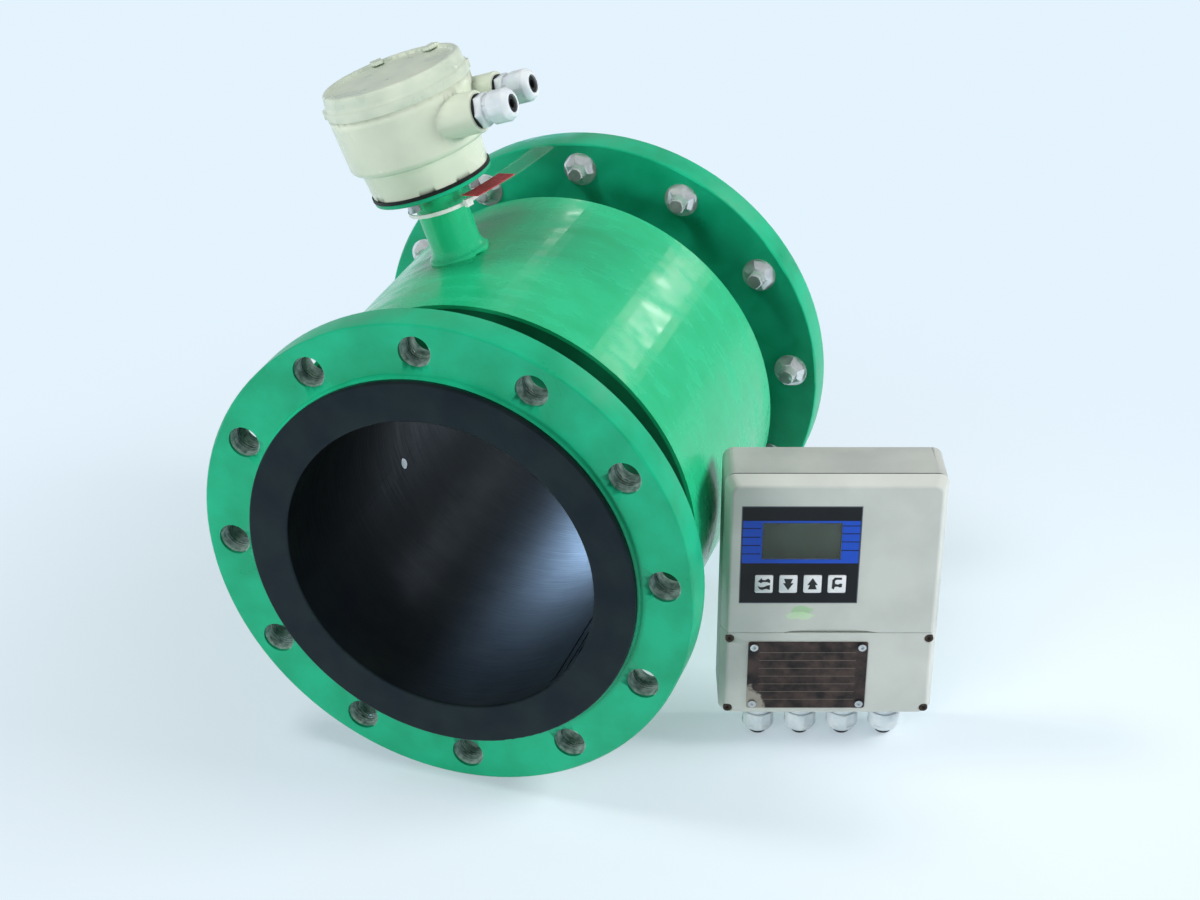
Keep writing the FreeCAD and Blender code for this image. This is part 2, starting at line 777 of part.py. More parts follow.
def make_lid():
    body = new_body("head_lid", lean)
    foot = f"{head_level} + seam_level + lid_gap"
    top = f"{foot} + lid_height"
    sketch = new_sketch(body, "XZ_Plane")
    bored = "spigot_od / 2 + lid_gap"
    spigot_top = f"{head_level} + seam_level + spigot_height"
    chamber = f"{spigot_top} + lid_ring + 2 * running_gap"
    polygon(sketch, [
        ("0", f"{top} - lid_recess - lid_skin"),
        ("spigot_od / 2 - spigot_wall", f"{top} - lid_recess - lid_skin"),
        ("spigot_od / 2 - spigot_wall", chamber),
        (bored, chamber),
        (bored, foot),
        ("lid_od / 2", foot),
        ("lid_od / 2", f"{foot} + lid_band"),
        ("lid_od / 2 - lid_step", f"{foot} + lid_band + lid_step / 2"),
        ("lid_top_od / 2", f"{top} - lid_step"),
        ("lid_top_od / 2 - lid_step", top),
        ("lid_top_od / 2 - lid_rim", top),
        ("lid_top_od / 2 - lid_rim - lid_recess / 2", f"{top} - lid_recess"),
        ("0", f"{top} - lid_recess"),
    ])
    revolve(body, sketch)
    for angle in ("lug_angle_near", "lug_angle_far"):
        lug = new_sketch(body, "XY_Plane", f"{top} - lid_recess / 2")
        corners = []
        for along, across in ((0.76, -0.7), (1, -1), (1, 1), (0.76, 0.7)):
            along = f"({along} * (lid_top_od / 2 - lid_step))"
            across = f"({across} * lug_width / 2)"
            corners.append((
                f"{along} * cos({angle}) - {across} * sin({angle})",
                f"{along} * sin({angle}) + {across} * cos({angle})",
            ))
        polygon(lug, corners)
        pad(body, lug, "lug_height + lid_recess / 2").TaperAngle = -25
    for side in (0, 180):
        ear = new_sketch(body, "XY_Plane", f"{foot} + lid_band * 0.1")
        corners = []
        inner = "(lid_od / 2 - lid_step)"
        outer = "(lid_od / 2 + ear_height)"
        for along, across in ((inner, "-1"), (outer, "-0.6"), (outer, "0.6"), (inner, "1")):
            across = f"({across} * ear_width / 2)"
            turn = f"(ear_angle + {side})"
            corners.append((
                f"{along} * cos({turn}) - {across} * sin({turn})",
                f"{along} * sin({turn}) + {across} * cos({turn})",
            ))
        polygon(ear, corners)
        pad(body, ear, "lid_band * 0.9")

    ring = new_body("lid_ring", lean)
    sketch = new_sketch(ring, "XY_Plane", f"{spigot_top} + running_gap")
    circle(sketch, "0", "0", "spigot_od - 2 * spigot_wall + 2 * running_gap")
    circle(sketch, "0", "0", "spigot_od")
    pad(ring, sketch, "lid_ring")


def make_terminals():
    """A moulded block with a row of ways on the floor of the head, set across the cable hole."""
    body = new_body("terminal_block", lean)
    level = f"{head_level} + head_floor"
    sketch = new_sketch(body, "XY_Plane", level)
    rectangle(sketch, "-block_length / 2", "-block_width / 2", "block_length / 2", "block_width / 2")
    pad(body, sketch, "block_height")
    first = "-block_pitch * (block_ways - 1) / 2"
    way = new_sketch(body, "XY_Plane", f"{level} + block_height")
    circle(way, first, "0", "block_pitch * 0.6")
    screw_way = pocket(body, way, "block_height * 0.4")
    mouth = new_sketch(body, "XZ_Plane", "block_width / 2")
    circle(mouth, first, f"{level} + block_height * 0.35", "block_pitch * 0.45")
    wire_way = pocket(body, mouth, "block_width * 0.3")
    row_of(body, [screw_way, wire_way], "X_Axis", "block_ways", "block_pitch * (block_ways - 1)")


# cable glands, drawn standing on their wall at z = 0

def gland(name, foot, seal_top, place):
    """Gland body and dome nut. Returns the seal, which the caller joins with its fellows."""
    body = new_body(f"{name}_body", place)
    hexed = new_sketch(body, "XY_Plane", foot)
    hexagon(hexed, "0", "0", "gland_hex")
    pad(body, hexed, "gland_hex_height")
    rounder = new_sketch(body, "XZ_Plane")
    collar = f"{foot} + gland_hex_height"
    neck = f"{collar} + gland_collar_height"
    polygon(rounder, [
        ("0", "-gland_grip"),
        ("gland_thread / 2", "-gland_grip"),
        ("gland_thread / 2", foot),
        ("gland_collar / 2", foot),
        ("gland_collar / 2", neck),
        ("gland_neck / 2", neck),
        ("gland_neck / 2", f"{neck} + gland_neck_height"),
        ("0", f"{neck} + gland_neck_height"),
    ])
    revolve(body, rounder)
    bored = new_sketch(body, "XY_Plane")
    circle(bored, "0", "0", "gland_bore")
    pocket(body, bored)

    nut = new_body(f"{name}_nut", place)
    sketch = new_sketch(nut, "XZ_Plane")
    end = f"{neck} + gland_nut_height"
    inner = "gland_neck / 2 + gland_clearance"
    foot_of_nut = f"{neck} + gland_clearance"
    shelf = f"{neck} + gland_neck_height + gland_clearance"
    polygon(sketch, [
        (inner, foot_of_nut),
        ("gland_nut_od / 2 - gland_edge", foot_of_nut),
        ("gland_nut_od / 2", f"{foot_of_nut} + gland_edge"),
        ("gland_nut_od / 2", f"{end} - gland_nut_taper"),
        ("gland_nut_end / 2 + 2 * gland_edge", f"{end} - gland_nut_taper * 0.3"),
        ("gland_nut_end / 2", end),
        ("gland_bore / 2 + running_gap", end),
        ("gland_bore / 2 + running_gap", shelf),
        (inner, shelf),
    ])
    revolve(nut, sketch)
    flats = new_sketch(nut, "XY_Plane", neck)
    circle(flats, "0", "0", "gland_nut_od * 1.3")
    hexagon(flats, "0", "0", "gland_nut_od - 2 * gland_flat_depth")
    pocket(nut, flats, "gland_nut_height * 0.66", backwards=True)

    seal = new_body(f"{name}_seal", place)
    sketch = new_sketch(seal, "XZ_Plane")
    top = f"({neck} + gland_nut_height + {seal_top})"
    polygon(sketch, [
        ("0", f"{neck} + gland_neck_height / 2"),
        ("gland_bore / 2 - gland_clearance", f"{neck} + gland_neck_height / 2"),
        ("gland_bore / 2 - gland_clearance", f"{top} - gland_edge"),
        ("gland_bore / 2 - gland_clearance - gland_edge", top),
        ("seal_mouth / 2", top),
        ("seal_mouth / 2 - seal_draft", f"{top} - seal_mouth_depth"),
        ("0", f"{top} - seal_mouth_depth"),
    ])
    revolve(seal, sketch)
    return seal


def make_glands():
    seals = []
    washers = []
    for number, side in ((1, -1), (2, 1)):
        spot = ("boss_reach", f"{side} * boss_spacing / 2", f"{head_level} + boss_level")

        def place(piece):
            seat(piece, sensor_frame, spot, Rotation(Vector(0, 1, 0), 90))

        seals.append(gland(f"head_gland_{number}", "gland_washer", "-seal_recess", place))
        washer = new_body(f"head_gland_{number}_washer", place)
        sketch = new_sketch(washer, "XY_Plane")
        circle(sketch, "0", "0", "gland_washer_od")
        circle(sketch, "0", "0", "gland_thread + running_gap")
        pad(washer, sketch, "gland_washer")
        washers.append(washer)
    join("head_gland_seals", seals)
    join("head_gland_washers", washers)

    seals = []
    for number in range(1, int(value("case_gland_count")) + 1):
        offset = f"case_gland_pitch * ({number} - (case_gland_count + 1) / 2)"

        def place(piece):
            spot = (offset, "cover_depth + case_gasket + gland_row", "0")
            seat(piece, converter_frame, spot, Rotation(Vector(1, 0, 0), 180))

        seals.append(gland(f"converter_gland_{number}", "0", "seal_reach", place))
    join("converter_gland_seals", seals)


# screws in the outlet flange: a disc over the hole, a six-sided cone, a six-sided pin and its round end

def make_studs():
    body = new_body("outlet_studs", lean)
    level = "bolt_circle / 2 * cos(180 / bolt_count)"
    across = "bolt_circle / 2 * sin(180 / bolt_count)"
    seat_level = half_inner
    sketch = new_sketch(body, "XY_Plane", level)
    polygon(sketch, [
        (across, half_neck),
        (f"{across} + bolt_hole / 2 - stud_clearance", half_neck),
        (f"{across} + bolt_hole / 2 - stud_clearance", seat_level),
        (f"{across} + stud_disc / 2", seat_level),
        (f"{across} + stud_disc / 2", f"{seat_level} - stud_disc_height"),
        (across, f"{seat_level} - stud_disc_height"),
    ])
    axis_line(sketch, (across, seat_level), (across, half_neck))
    shank = revolve(body, sketch, "Axis0")
    # the XZ plane's normal points along -Y
    low = new_sketch(body, "XZ_Plane", f"-({seat_level} - stud_disc_height)")
    hexagon(low, across, level, "stud_disc * 0.86")
    high = new_sketch(body, "XZ_Plane", f"-({seat_level} - stud_disc_height - stud_cone_height)")
    hexagon(high, across, level, "stud_hex")
    cone = feature(body, "AdditiveLoft", Profile=low, Sections=[high], Ruled=True)
    pin = new_sketch(body, "XZ_Plane", f"-({seat_level} - stud_disc_height - stud_cone_height)")
    hexagon(pin, across, level, "stud_hex")
    pin = pad(body, pin, "stud_hex_height")
    tip = f"{seat_level} - stud_disc_height - stud_cone_height - stud_hex_height"
    end = new_sketch(body, "XZ_Plane", f"-({tip})")
    circle(end, across, level, "stud_end")
    end = pad(body, end, "stud_end_height")
    repeat(body, [shank, cone, pin, end], "Y_Axis", "bolt_count")


# cable tie and the tag that it holds

tie_shift = "(tie_radius - neck_od / 2 - running_gap)"
tie_reach = f"({tie_shift} + tie_radius + tie_thickness + tie_head * 0.35)"
lock_side = "(tie_head / 2 + running_gap)"


def make_tie():
    """A loose band that touches the neck's far side, its lock on the near side."""
    spot = (f"{tie_shift} * cos(tie_side)", f"{tie_shift} * sin(tie_side)", "tie_level")
    turn = Rotation(Vector(0, 0, 1), value("tie_side"))
    body = new_body("cable_tie", lambda piece: seat(piece, sensor_frame, spot, turn))
    band = new_sketch(body, "XY_Plane")
    circle(band, "0", "0", "2 * tie_radius")
    circle(band, "0", "0", "2 * (tie_radius + tie_thickness)")
    pad(body, band, "tie_band")
    lock = new_sketch(body, "XY_Plane", "(tie_band - tie_head) / 2")
    edge = "tie_radius + tie_thickness / 2"
    rectangle(lock, edge, "-tie_head / 2", f"{edge} + tie_head * 0.7", "tie_head / 2")
    pad(body, lock, "tie_head")


def make_tag():
    """A card in a clear sleeve on the tie's lock, both bent to the same curl."""
    thickness = "(2 * tag_film + tag_card + running_gap)"
    spot = (
        f"{tie_reach} * cos(tie_side) - {lock_side} * sin(tie_side)",
        f"{tie_reach} * sin(tie_side) + {lock_side} * cos(tie_side)",
        f"tie_level + (tie_band + tie_head) / 2 + {thickness} + running_gap",
    )
    turns = (Vector(0, 0, 1), "tag_turn"), (Vector(0, -1, 0), "tag_rise"), (Vector(1, 0, 0), "tag_roll")
    turn = Rotation()
    for axis, angle in turns:
        turn = turn.multiply(Rotation(axis, value(angle)))

    def place(piece):
        seat(piece, sensor_frame, spot, turn)

    def bent(name, width, inner, outer, end):
        """A strip between two depths below the curl's inner side. The curl's axis lies above it along y."""
        body = new_body(name, place)
        sketch = new_sketch(body, "YZ_Plane")
        rectangle(sketch, f"-{width} / 2", f"-({outer})", f"{width} / 2", f"-({inner})")
        axis_line(sketch, ("tag_width", "tag_curl"), ("-tag_width", "tag_curl"))
        revolve(body, sketch, "Axis0", angle=f"({end}) / tag_curl * 180 / pi")
        return body

    sleeve = bent("tag_sleeve", "tag_width", "0", thickness, "tag_length")
    cavity = new_sketch(sleeve, "YZ_Plane")
    room = "tag_film + tag_card + running_gap"
    rectangle(cavity, "-(tag_width / 2 - tag_margin)", f"-({room})", "tag_width / 2 - tag_margin", "-tag_film")
    axis_line(cavity, ("tag_width", "tag_curl"), ("-tag_width", "tag_curl"))
    revolve(sleeve, cavity, "Axis0", "Groove", "(tag_card_length + 2 * running_gap) / tag_curl * 180 / pi")
    card = "tag_width - 2 * tag_margin - 2 * running_gap"
    inside = "tag_film + running_gap / 2"
    bent("tag_card", f"({card})", inside, f"{inside} + tag_card", "tag_card_length")


# converter: two moulded covers on a deep tray, drawn on XZ, whose normal points along -Y

half_width = "case_width / 2"
upper_low = "cover_seam + seam_gap / 2"
lower_high = "cover_seam - seam_gap / 2"
tray_front = "cover_depth + case_gasket"
panel_x = "(panel_left - case_width / 2)"
panel_z = "(case_height - panel_top - panel_height)"
window_x = f"({panel_x} + window_left)"
window_z = f"({panel_z} + panel_height - window_top - window_height)"
keys_z = f"({panel_z} + key_bottom)"


def box_on(body, low, high, margin="0"):
    """Pad a box between two corners, each drawn in by a margin across the front."""
    sketch = new_sketch(body, "XZ_Plane", f"-({low[1]})")
    rectangle(
        sketch, f"{low[0]} + {margin}", f"{low[2]} + {margin}", f"{high[0]} - {margin}", f"{high[2]} - {margin}"
    )
    return pad(body, sketch, f"({high[1]}) - ({low[1]})", backwards=True)


def cut_box(body, low, high):
    sketch = new_sketch(body, "XZ_Plane", f"-({low[1]})")
    rectangle(sketch, low[0], low[2], high[0], high[2])
    return pocket(body, sketch, f"({high[1]}) - ({low[1]})")


def key_x(number):
    return f"({panel_x} + key_left + {number} * key_pitch)"


def cover(name, low, high, slope_low, slope_high):
    """A cover whose outer sides slope in towards its face, hollow behind."""
    body = new_body(name, stand)
    back = new_sketch(body, "XZ_Plane", "-cover_depth")
    rectangle(back, f"-{half_width}", low, half_width, high)
    front = new_sketch(body, "XZ_Plane")
    rectangle(
        front, f"-{half_width} + cover_slope", f"{low} + {slope_low}", f"{half_width} - cover_slope",
        f"{high} - {slope_high}",
    )
    feature(body, "AdditiveLoft", Profile=back, Sections=[front], Ruled=True)
    return body


def hollow_cover(body, low, high):
    inside = new_sketch(body, "XZ_Plane", "-cover_depth")
    inset = "(case_wall + cover_slope)"
    rectangle(inside, f"-{half_width} + {inset}", low, f"{half_width} - {inset}", high)
    pocket(body, inside, "cover_depth - case_wall", backwards=True)


def make_front_cover():
    body = cover("front_cover", upper_low, "case_height", "0", "cover_slope")
    top = value("case_height - cover_slope")
    far = top - value("case_round")
    dress(body, "Fillet", "case_round", lambda edge: is_corner(edge) and edge.CenterOfMass.z > far)
    dress(body, "Fillet", "cover_round", lambda edge: is_front_rim(edge, top, 1))
    hollow_cover(body, f"{upper_low} + case_wall", "case_height - cover_slope - case_wall")
    panel_right = f"{panel_x} + panel_width"
    panel_high = f"{panel_z} + panel_height"
    cut_box(body, (panel_x, "0", panel_z), (panel_right, "panel_thickness", panel_high))
    open_front(body, "panel_thickness", "case_wall")
    grip = new_sketch(body, "XZ_Plane")
    radius = "((grip_width ^ 2 / 4 + grip_height ^ 2) / 2 / grip_height)"
    circle(grip, "0", f"{upper_low} + grip_height - {radius}", f"2 * {radius}")
    pocket(body, grip, "grip_depth")
    posts = new_sketch(body, "XZ_Plane", "-case_wall")
    for x in (f"{panel_x} + post_inset", f"{panel_right} - post_inset"):
        for z in (f"{panel_z} + post_inset", f"{panel_high} - post_inset"):
            circle(posts, x, z, "post_od")
    pad(body, posts, "board_level - case_wall", backwards=True)


def is_corner(edge):
    """The sloping edges between the sides of a cover."""
    box = edge.BoundBox
    return isinstance(edge.Curve, (Part.Line, Part.BSplineCurve)) and box.YLength > 1


def is_front_rim(edge, level, side):
    """The edges round a cover's face, without the one on the seam. side is 1 where the rim is the top."""
    box = edge.BoundBox
    if box.YLength > same_place or abs(box.YMin) > same_place:
        return False
    on_seam = box.ZLength < same_place and (box.ZMin - level) * side < -value("case_round")
    return not on_seam


def open_front(body, low, high):
    """Cut the display window and the four key holes between two depths."""
    cut_box(body, (window_x, low, window_z), (f"{window_x} + window_width", high, f"{window_z} + window_height"))
    for number in range(4):
        left = key_x(number)
        cut_box(
            body,
            (f"{left} - key_fit", low, f"{keys_z} - key_fit"),
            (f"{left} + key_width + key_fit", high, f"{keys_z} + key_height + key_fit"),
        )


def make_panel():
    panel = new_body("keypad_panel", stand)
    high = (f"{panel_x} + panel_width", "panel_thickness", f"{panel_z} + panel_height")
    box_on(panel, (panel_x, "0", panel_z), high, "panel_fit")
    open_front(panel, "0", "panel_thickness")

    window_right = f"{window_x} + window_width"
    window_high = f"{window_z} + window_height"
    glass = new_body("display_window", stand)
    box_on(glass, (window_x, "panel_fit", window_z), (window_right, "panel_thickness", window_high), "panel_fit")

    module = new_body("display_module", stand)
    behind = "case_wall + panel_fit / 2"
    box_on(module, (window_x, "panel_thickness", window_z), (window_right, behind, window_high), "panel_fit")
    box_on(
        module,
        (f"{window_x} - module_margin", behind, f"{window_z} - module_margin"),
        (f"{window_right} + module_margin", "board_level", f"{window_high} + module_margin"),
    )

    flange_back = f"{behind} + key_flange_depth"
    for number in range(4):
        left = key_x(number)
        key = new_body(f"key_{number + 1}", stand)
        right = f"{left} + key_width"
        top = f"{keys_z} + key_height"
        box_on(key, (left, "-key_proud", keys_z), (right, behind, top))
        edges = straight_edge(1, lambda middle: True)
        dress(key, "Fillet", "key_width / 10", edges)
        box_on(key, (left, behind, keys_z), (right, flange_back, top), "-key_flange")

    board = new_body("main_board", stand)
    right = f"{panel_x} + panel_width"
    high = f"{panel_z} + panel_height"
    box_on(board, (panel_x, "board_level", panel_z), (right, "board_level + board_thickness", high), "board_margin")
    for number in range(4):
        low = f"{key_x(number)} + (key_width - switch_size) / 2"
        foot = f"{keys_z} + (key_height - switch_size) / 2"
        box_on(
            board,
            (low, f"{flange_back} + key_travel + switch_gap", foot),
            (f"{low} + switch_size", "board_level", f"{foot} + switch_size"),
        )


def cover_screw_spots():
    for x in (f"-({half_width} - cover_screw_inset)", f"{half_width} - cover_screw_inset"):
        for z in ("cover_screw_low", "cover_screw_high"):
            yield x, z


def plate_screw_spots():
    left = f"(plate_left - {half_width})"
    for x in (f"{left} + plate_screw_inset", f"{left} + plate_width - plate_screw_inset"):
        for z in ("plate_bottom + plate_screw_inset", "plate_bottom + plate_height - plate_screw_inset"):
            yield x, z


def dots(body, spots, level, diameter):
    """One circle at each spot, on a plane at this depth."""
    sketch = new_sketch(body, "XZ_Plane", f"-({level})")
    for x, z in spots:
        circle(sketch, x, z, diameter)
    return sketch


def make_terminal_cover():
    body = cover("terminal_cover", "0", lower_high, "cover_slope", "0")
    low = value("cover_slope")
    far = low + value("case_round")
    dress(body, "Fillet", "case_round", lambda edge: is_corner(edge) and edge.CenterOfMass.z < far)
    dress(body, "Fillet", "cover_round", lambda edge: is_front_rim(edge, low, -1))
    hollow_cover(body, "cover_slope + case_wall", f"{lower_high} - case_wall")
    pocket(body, dots(body, cover_screw_spots(), "0", "cover_screw_head + 4 * running_gap"), "cover_screw_sink")
    pocket(body, dots(body, cover_screw_spots(), "0", "cover_screw + 2 * running_gap"), "cover_depth")
    pocket(body, dots(body, plate_screw_spots(), "0", "plate_screw + running_gap"), "case_wall")

    screws = new_body("cover_screws", stand)
    head = "cover_screw_sink - cover_screw_height"
    pad(screws, dots(screws, cover_screw_spots(), head, "cover_screw_head"), "cover_screw_height", backwards=True)
    pad(screws, dots(screws, cover_screw_spots(), "cover_screw_sink", "cover_screw"), "cover_screw_length", True)
    sockets = new_sketch(screws, "XZ_Plane", f"-({head})")
    for x, z in cover_screw_spots():
        hexagon(sockets, x, z, "cover_screw_head / 2.4")
    pocket(screws, sockets, "cover_screw_height * 0.6")

    plate = new_body("name_plate", stand)
    left = f"(plate_left - {half_width})"
    box_on(
        plate,
        (left, "-plate_sheet", "plate_bottom"),
        (f"{left} + plate_width", "0", "plate_bottom + plate_height"),
    )
    dress(plate, "Fillet", "plate_sheet * 2.5", straight_edge(1, lambda middle: True))
    pocket(plate, dots(plate, plate_screw_spots(), "-plate_sheet", "plate_screw + running_gap"), "plate_sheet")

    screws = new_body("name_plate_screws", stand)
    top = "-plate_sheet - plate_screw_height"
    pad(screws, dots(screws, plate_screw_spots(), top, "plate_screw_head"), "plate_screw_height", backwards=True)
    pad(screws, dots(screws, plate_screw_spots(), "-plate_sheet", "plate_screw"), "case_wall + plate_sheet", True)
    sockets = new_sketch(screws, "XZ_Plane", f"-({top})")
    for x, z in plate_screw_spots():
        hexagon(sockets, x, z, "plate_screw_head / 2.4")
    pocket(screws, sockets, "plate_screw_height * 0.6")


def wall_screw_spots():
    for x in ("-wall_pitch_x / 2", "wall_pitch_x / 2"):
        for z in ("wall_bottom", "wall_bottom + wall_pitch_z"):
            yield x, z


def frame_corners(body):
    """Round the outer and the inner corners of a rectangular frame."""
    outer = value(half_width) - same_place
    inner = value(f"{half_width} - case_wall") + same_place
    dress(body, "Fillet", "case_round", straight_edge(1, lambda middle: abs(middle.x) > outer))
    low = value("case_wall") - same_place
    high = value("case_height - case_wall") + same_place

    def inside(middle):
        return abs(middle.x) < inner and low < middle.z < high

    dress(body, "Fillet", "case_round - case_wall", straight_edge(1, inside))


def make_case():
    body = new_body("converter_case", stand)
    box_on(body, (f"-{half_width}", tray_front, "0"), (half_width, "case_depth", "case_height"))
    cut_box(
        body,
        (f"-{half_width} + case_wall", tray_front, "case_wall"),
        (f"{half_width} - case_wall", "case_depth - case_wall", "case_height - case_wall"),
    )
    frame_corners(body)
    columns = dots(body, cover_screw_spots(), tray_front, "screw_boss")
    pad(body, columns, f"case_depth - case_wall / 2 - ({tray_front})", backwards=True)
    inner = "case_depth - wall_screw_depth - case_wall"
    pad(body, dots(body, wall_screw_spots(), inner, "wall_screw_boss"), "wall_screw_depth + case_wall / 2", True)
    grip = f"cover_screw_length + cover_screw_sink - ({tray_front}) + blind_depth"
    pocket(body, dots(body, cover_screw_spots(), tray_front, "cover_screw + running_gap"), grip)
    pocket(body, dots(body, wall_screw_spots(), "case_depth", "wall_screw"), "wall_screw_depth", backwards=True)
    entries = new_sketch(body, "XY_Plane")
    for number in range(1, int(value("case_gland_count")) + 1):
        offset = f"case_gland_pitch * ({number} - (case_gland_count + 1) / 2)"
        circle(entries, offset, f"{tray_front} + gland_row", "gland_thread + running_gap")
    pocket(body, entries, "case_wall", backwards=True)

    gasket = new_body("cover_gasket", stand)
    box_on(gasket, (f"-{half_width}", "cover_depth", "0"), (half_width, tray_front, "case_height"))
    cut_box(
        gasket,
        (f"-{half_width} + case_wall", "cover_depth", "case_wall"),
        (f"{half_width} - case_wall", tray_front, "case_height - case_wall"),
    )
    frame_corners(gasket)

    strip = new_body("terminal_strip", stand)
    back = "case_depth - case_wall"
    box_on(
        strip,
        ("-strip_length / 2", f"{back} - strip_height", "strip_level"),
        ("strip_length / 2", back, "strip_level + strip_width"),
    )
    pitch = "strip_length / strip_ways"
    first = f"-strip_length / 2 + {pitch} / 2"
    screw = dots(strip, [(first, "strip_level + strip_width / 2")], f"{back} - strip_height", f"{pitch} * 0.55")
    screw = pocket(strip, screw, "strip_height * 0.3")
    mouth = new_sketch(strip, "XY_Plane", "strip_level")
    circle(mouth, first, f"{back} - strip_height * 0.5", f"{pitch} * 0.5")
    mouth = pocket(strip, mouth, "strip_width * 0.5", backwards=True)
    row_of(strip, [screw, mouth], "X_Axis", "strip_ways", "strip_length - strip_length / strip_ways")


make_pipe()
make_flange("inlet_flange", -1)
make_flange("outlet_flange", 1)
make_liner()
make_casing()
make_magnet()
make_electrodes()
make_neck()
make_plate()
make_head()
make_lid()
make_terminals()
make_glands()
make_studs()
make_tie()
make_tag()
make_front_cover()
make_panel()
make_terminal_cover()
make_case()

# every object must have built before anything is written

doc.recompute()
for made in doc.Objects:
    if "Invalid" in made.State or "Error" in made.State:
        raise ValueError(f"{made.Label} did not build: {made.State}")
for subpart in subparts:
    if subpart.Shape.isNull() or not subpart.Shape.isValid() or not subpart.Shape.Solids:
        raise ValueError(f"{subpart.Label} has no valid solid")

os.makedirs("parts", exist_ok=True)
for subpart in subparts:
    subpart.Shape.exportStep(f"parts/{subpart.Label}.step")
print(len(subparts), "sub-parts written")
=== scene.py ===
import json
import math
import bmesh
import bpy
from mathutils import Matrix, Vector

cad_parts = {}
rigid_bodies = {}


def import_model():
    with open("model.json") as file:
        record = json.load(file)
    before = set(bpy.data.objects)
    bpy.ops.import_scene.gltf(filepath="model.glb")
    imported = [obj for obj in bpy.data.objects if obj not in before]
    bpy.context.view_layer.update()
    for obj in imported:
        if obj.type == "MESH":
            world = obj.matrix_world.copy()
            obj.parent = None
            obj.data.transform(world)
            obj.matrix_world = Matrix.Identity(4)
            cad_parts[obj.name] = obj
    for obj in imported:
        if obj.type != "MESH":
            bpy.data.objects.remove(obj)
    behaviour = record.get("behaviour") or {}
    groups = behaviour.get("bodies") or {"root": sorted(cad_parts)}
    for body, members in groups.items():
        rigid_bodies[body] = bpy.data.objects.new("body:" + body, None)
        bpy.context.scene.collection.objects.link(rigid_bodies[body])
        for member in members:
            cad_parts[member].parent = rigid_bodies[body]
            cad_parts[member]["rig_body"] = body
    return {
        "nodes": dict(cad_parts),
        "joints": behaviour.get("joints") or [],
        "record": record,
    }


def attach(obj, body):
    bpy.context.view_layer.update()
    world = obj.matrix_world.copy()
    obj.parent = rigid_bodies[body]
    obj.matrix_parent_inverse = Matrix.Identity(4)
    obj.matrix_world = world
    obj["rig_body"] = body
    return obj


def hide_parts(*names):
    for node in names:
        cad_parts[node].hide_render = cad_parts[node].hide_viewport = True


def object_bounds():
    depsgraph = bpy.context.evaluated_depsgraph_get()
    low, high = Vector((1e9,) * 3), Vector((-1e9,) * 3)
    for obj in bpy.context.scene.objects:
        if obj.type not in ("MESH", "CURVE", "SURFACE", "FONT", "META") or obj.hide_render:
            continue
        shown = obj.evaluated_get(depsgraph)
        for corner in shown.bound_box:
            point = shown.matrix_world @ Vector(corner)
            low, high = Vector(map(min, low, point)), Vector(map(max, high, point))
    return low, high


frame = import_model()
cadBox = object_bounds()
nodes = frame["nodes"]
joints = {joint["name"]: joint for joint in frame["joints"]}
mm = 0.001

# the sensor leans with its lid's axis, and the converter stands turned by its keys' axis
lidAxis = Vector(joints["lid_turn"]["axis"])
keyAxis = Vector(joints["key_1_press"]["axis"])
sensorTurn = Matrix.Rotation(math.atan2(lidAxis.x, lidAxis.z), 4, "Y")
converterTurn = Matrix.Rotation(math.atan2(-keyAxis.x, keyAxis.y), 4, "Z")


# lowest and highest corner of a node, seen from a turned frame
def localBox(node, turn):
    back = turn.inverted()
    points = [back @ vertex.co for vertex in nodes[node].data.vertices]
    low = Vector([min(point[axis] for point in points) for axis in range(3)])
    high = Vector([max(point[axis] for point in points) for axis in range(3)])
    return low, high


def toLinear(hexColour):
    channels = [int(hexColour[place:place + 2], 16) / 255 for place in (1, 3, 5)]
    return [c / 12.92 if c <= 0.04045 else ((c + 0.055) / 1.055) ** 2.4 for c in channels] + [1]


# one node, its settings, and what each input is set to or linked from
def addNode(tree, kind, links=None, **settings):
    node = tree.nodes.new(kind)
    for name, value in settings.items():
        setattr(node, name, value)
    for name, source in (links or {}).items():
        if isinstance(source, bpy.types.NodeSocket):
            tree.links.new(source, node.inputs[name])
        else:
            node.inputs[name].default_value = source
    return node


# what all finishes share: the noise detail of each pattern, the noise levels between which a pattern runs
# from its first to its second value, and how much of the relief counts
finishPattern = {
    "detail": {"patch": 4, "grain": 3, "swell": 2},
    "patchEdge": (0.35, 0.65),
    "roughEdge": (0.3, 0.7),
    "swellStrength": 0.5,
    "grainStrength": 0.7,
}


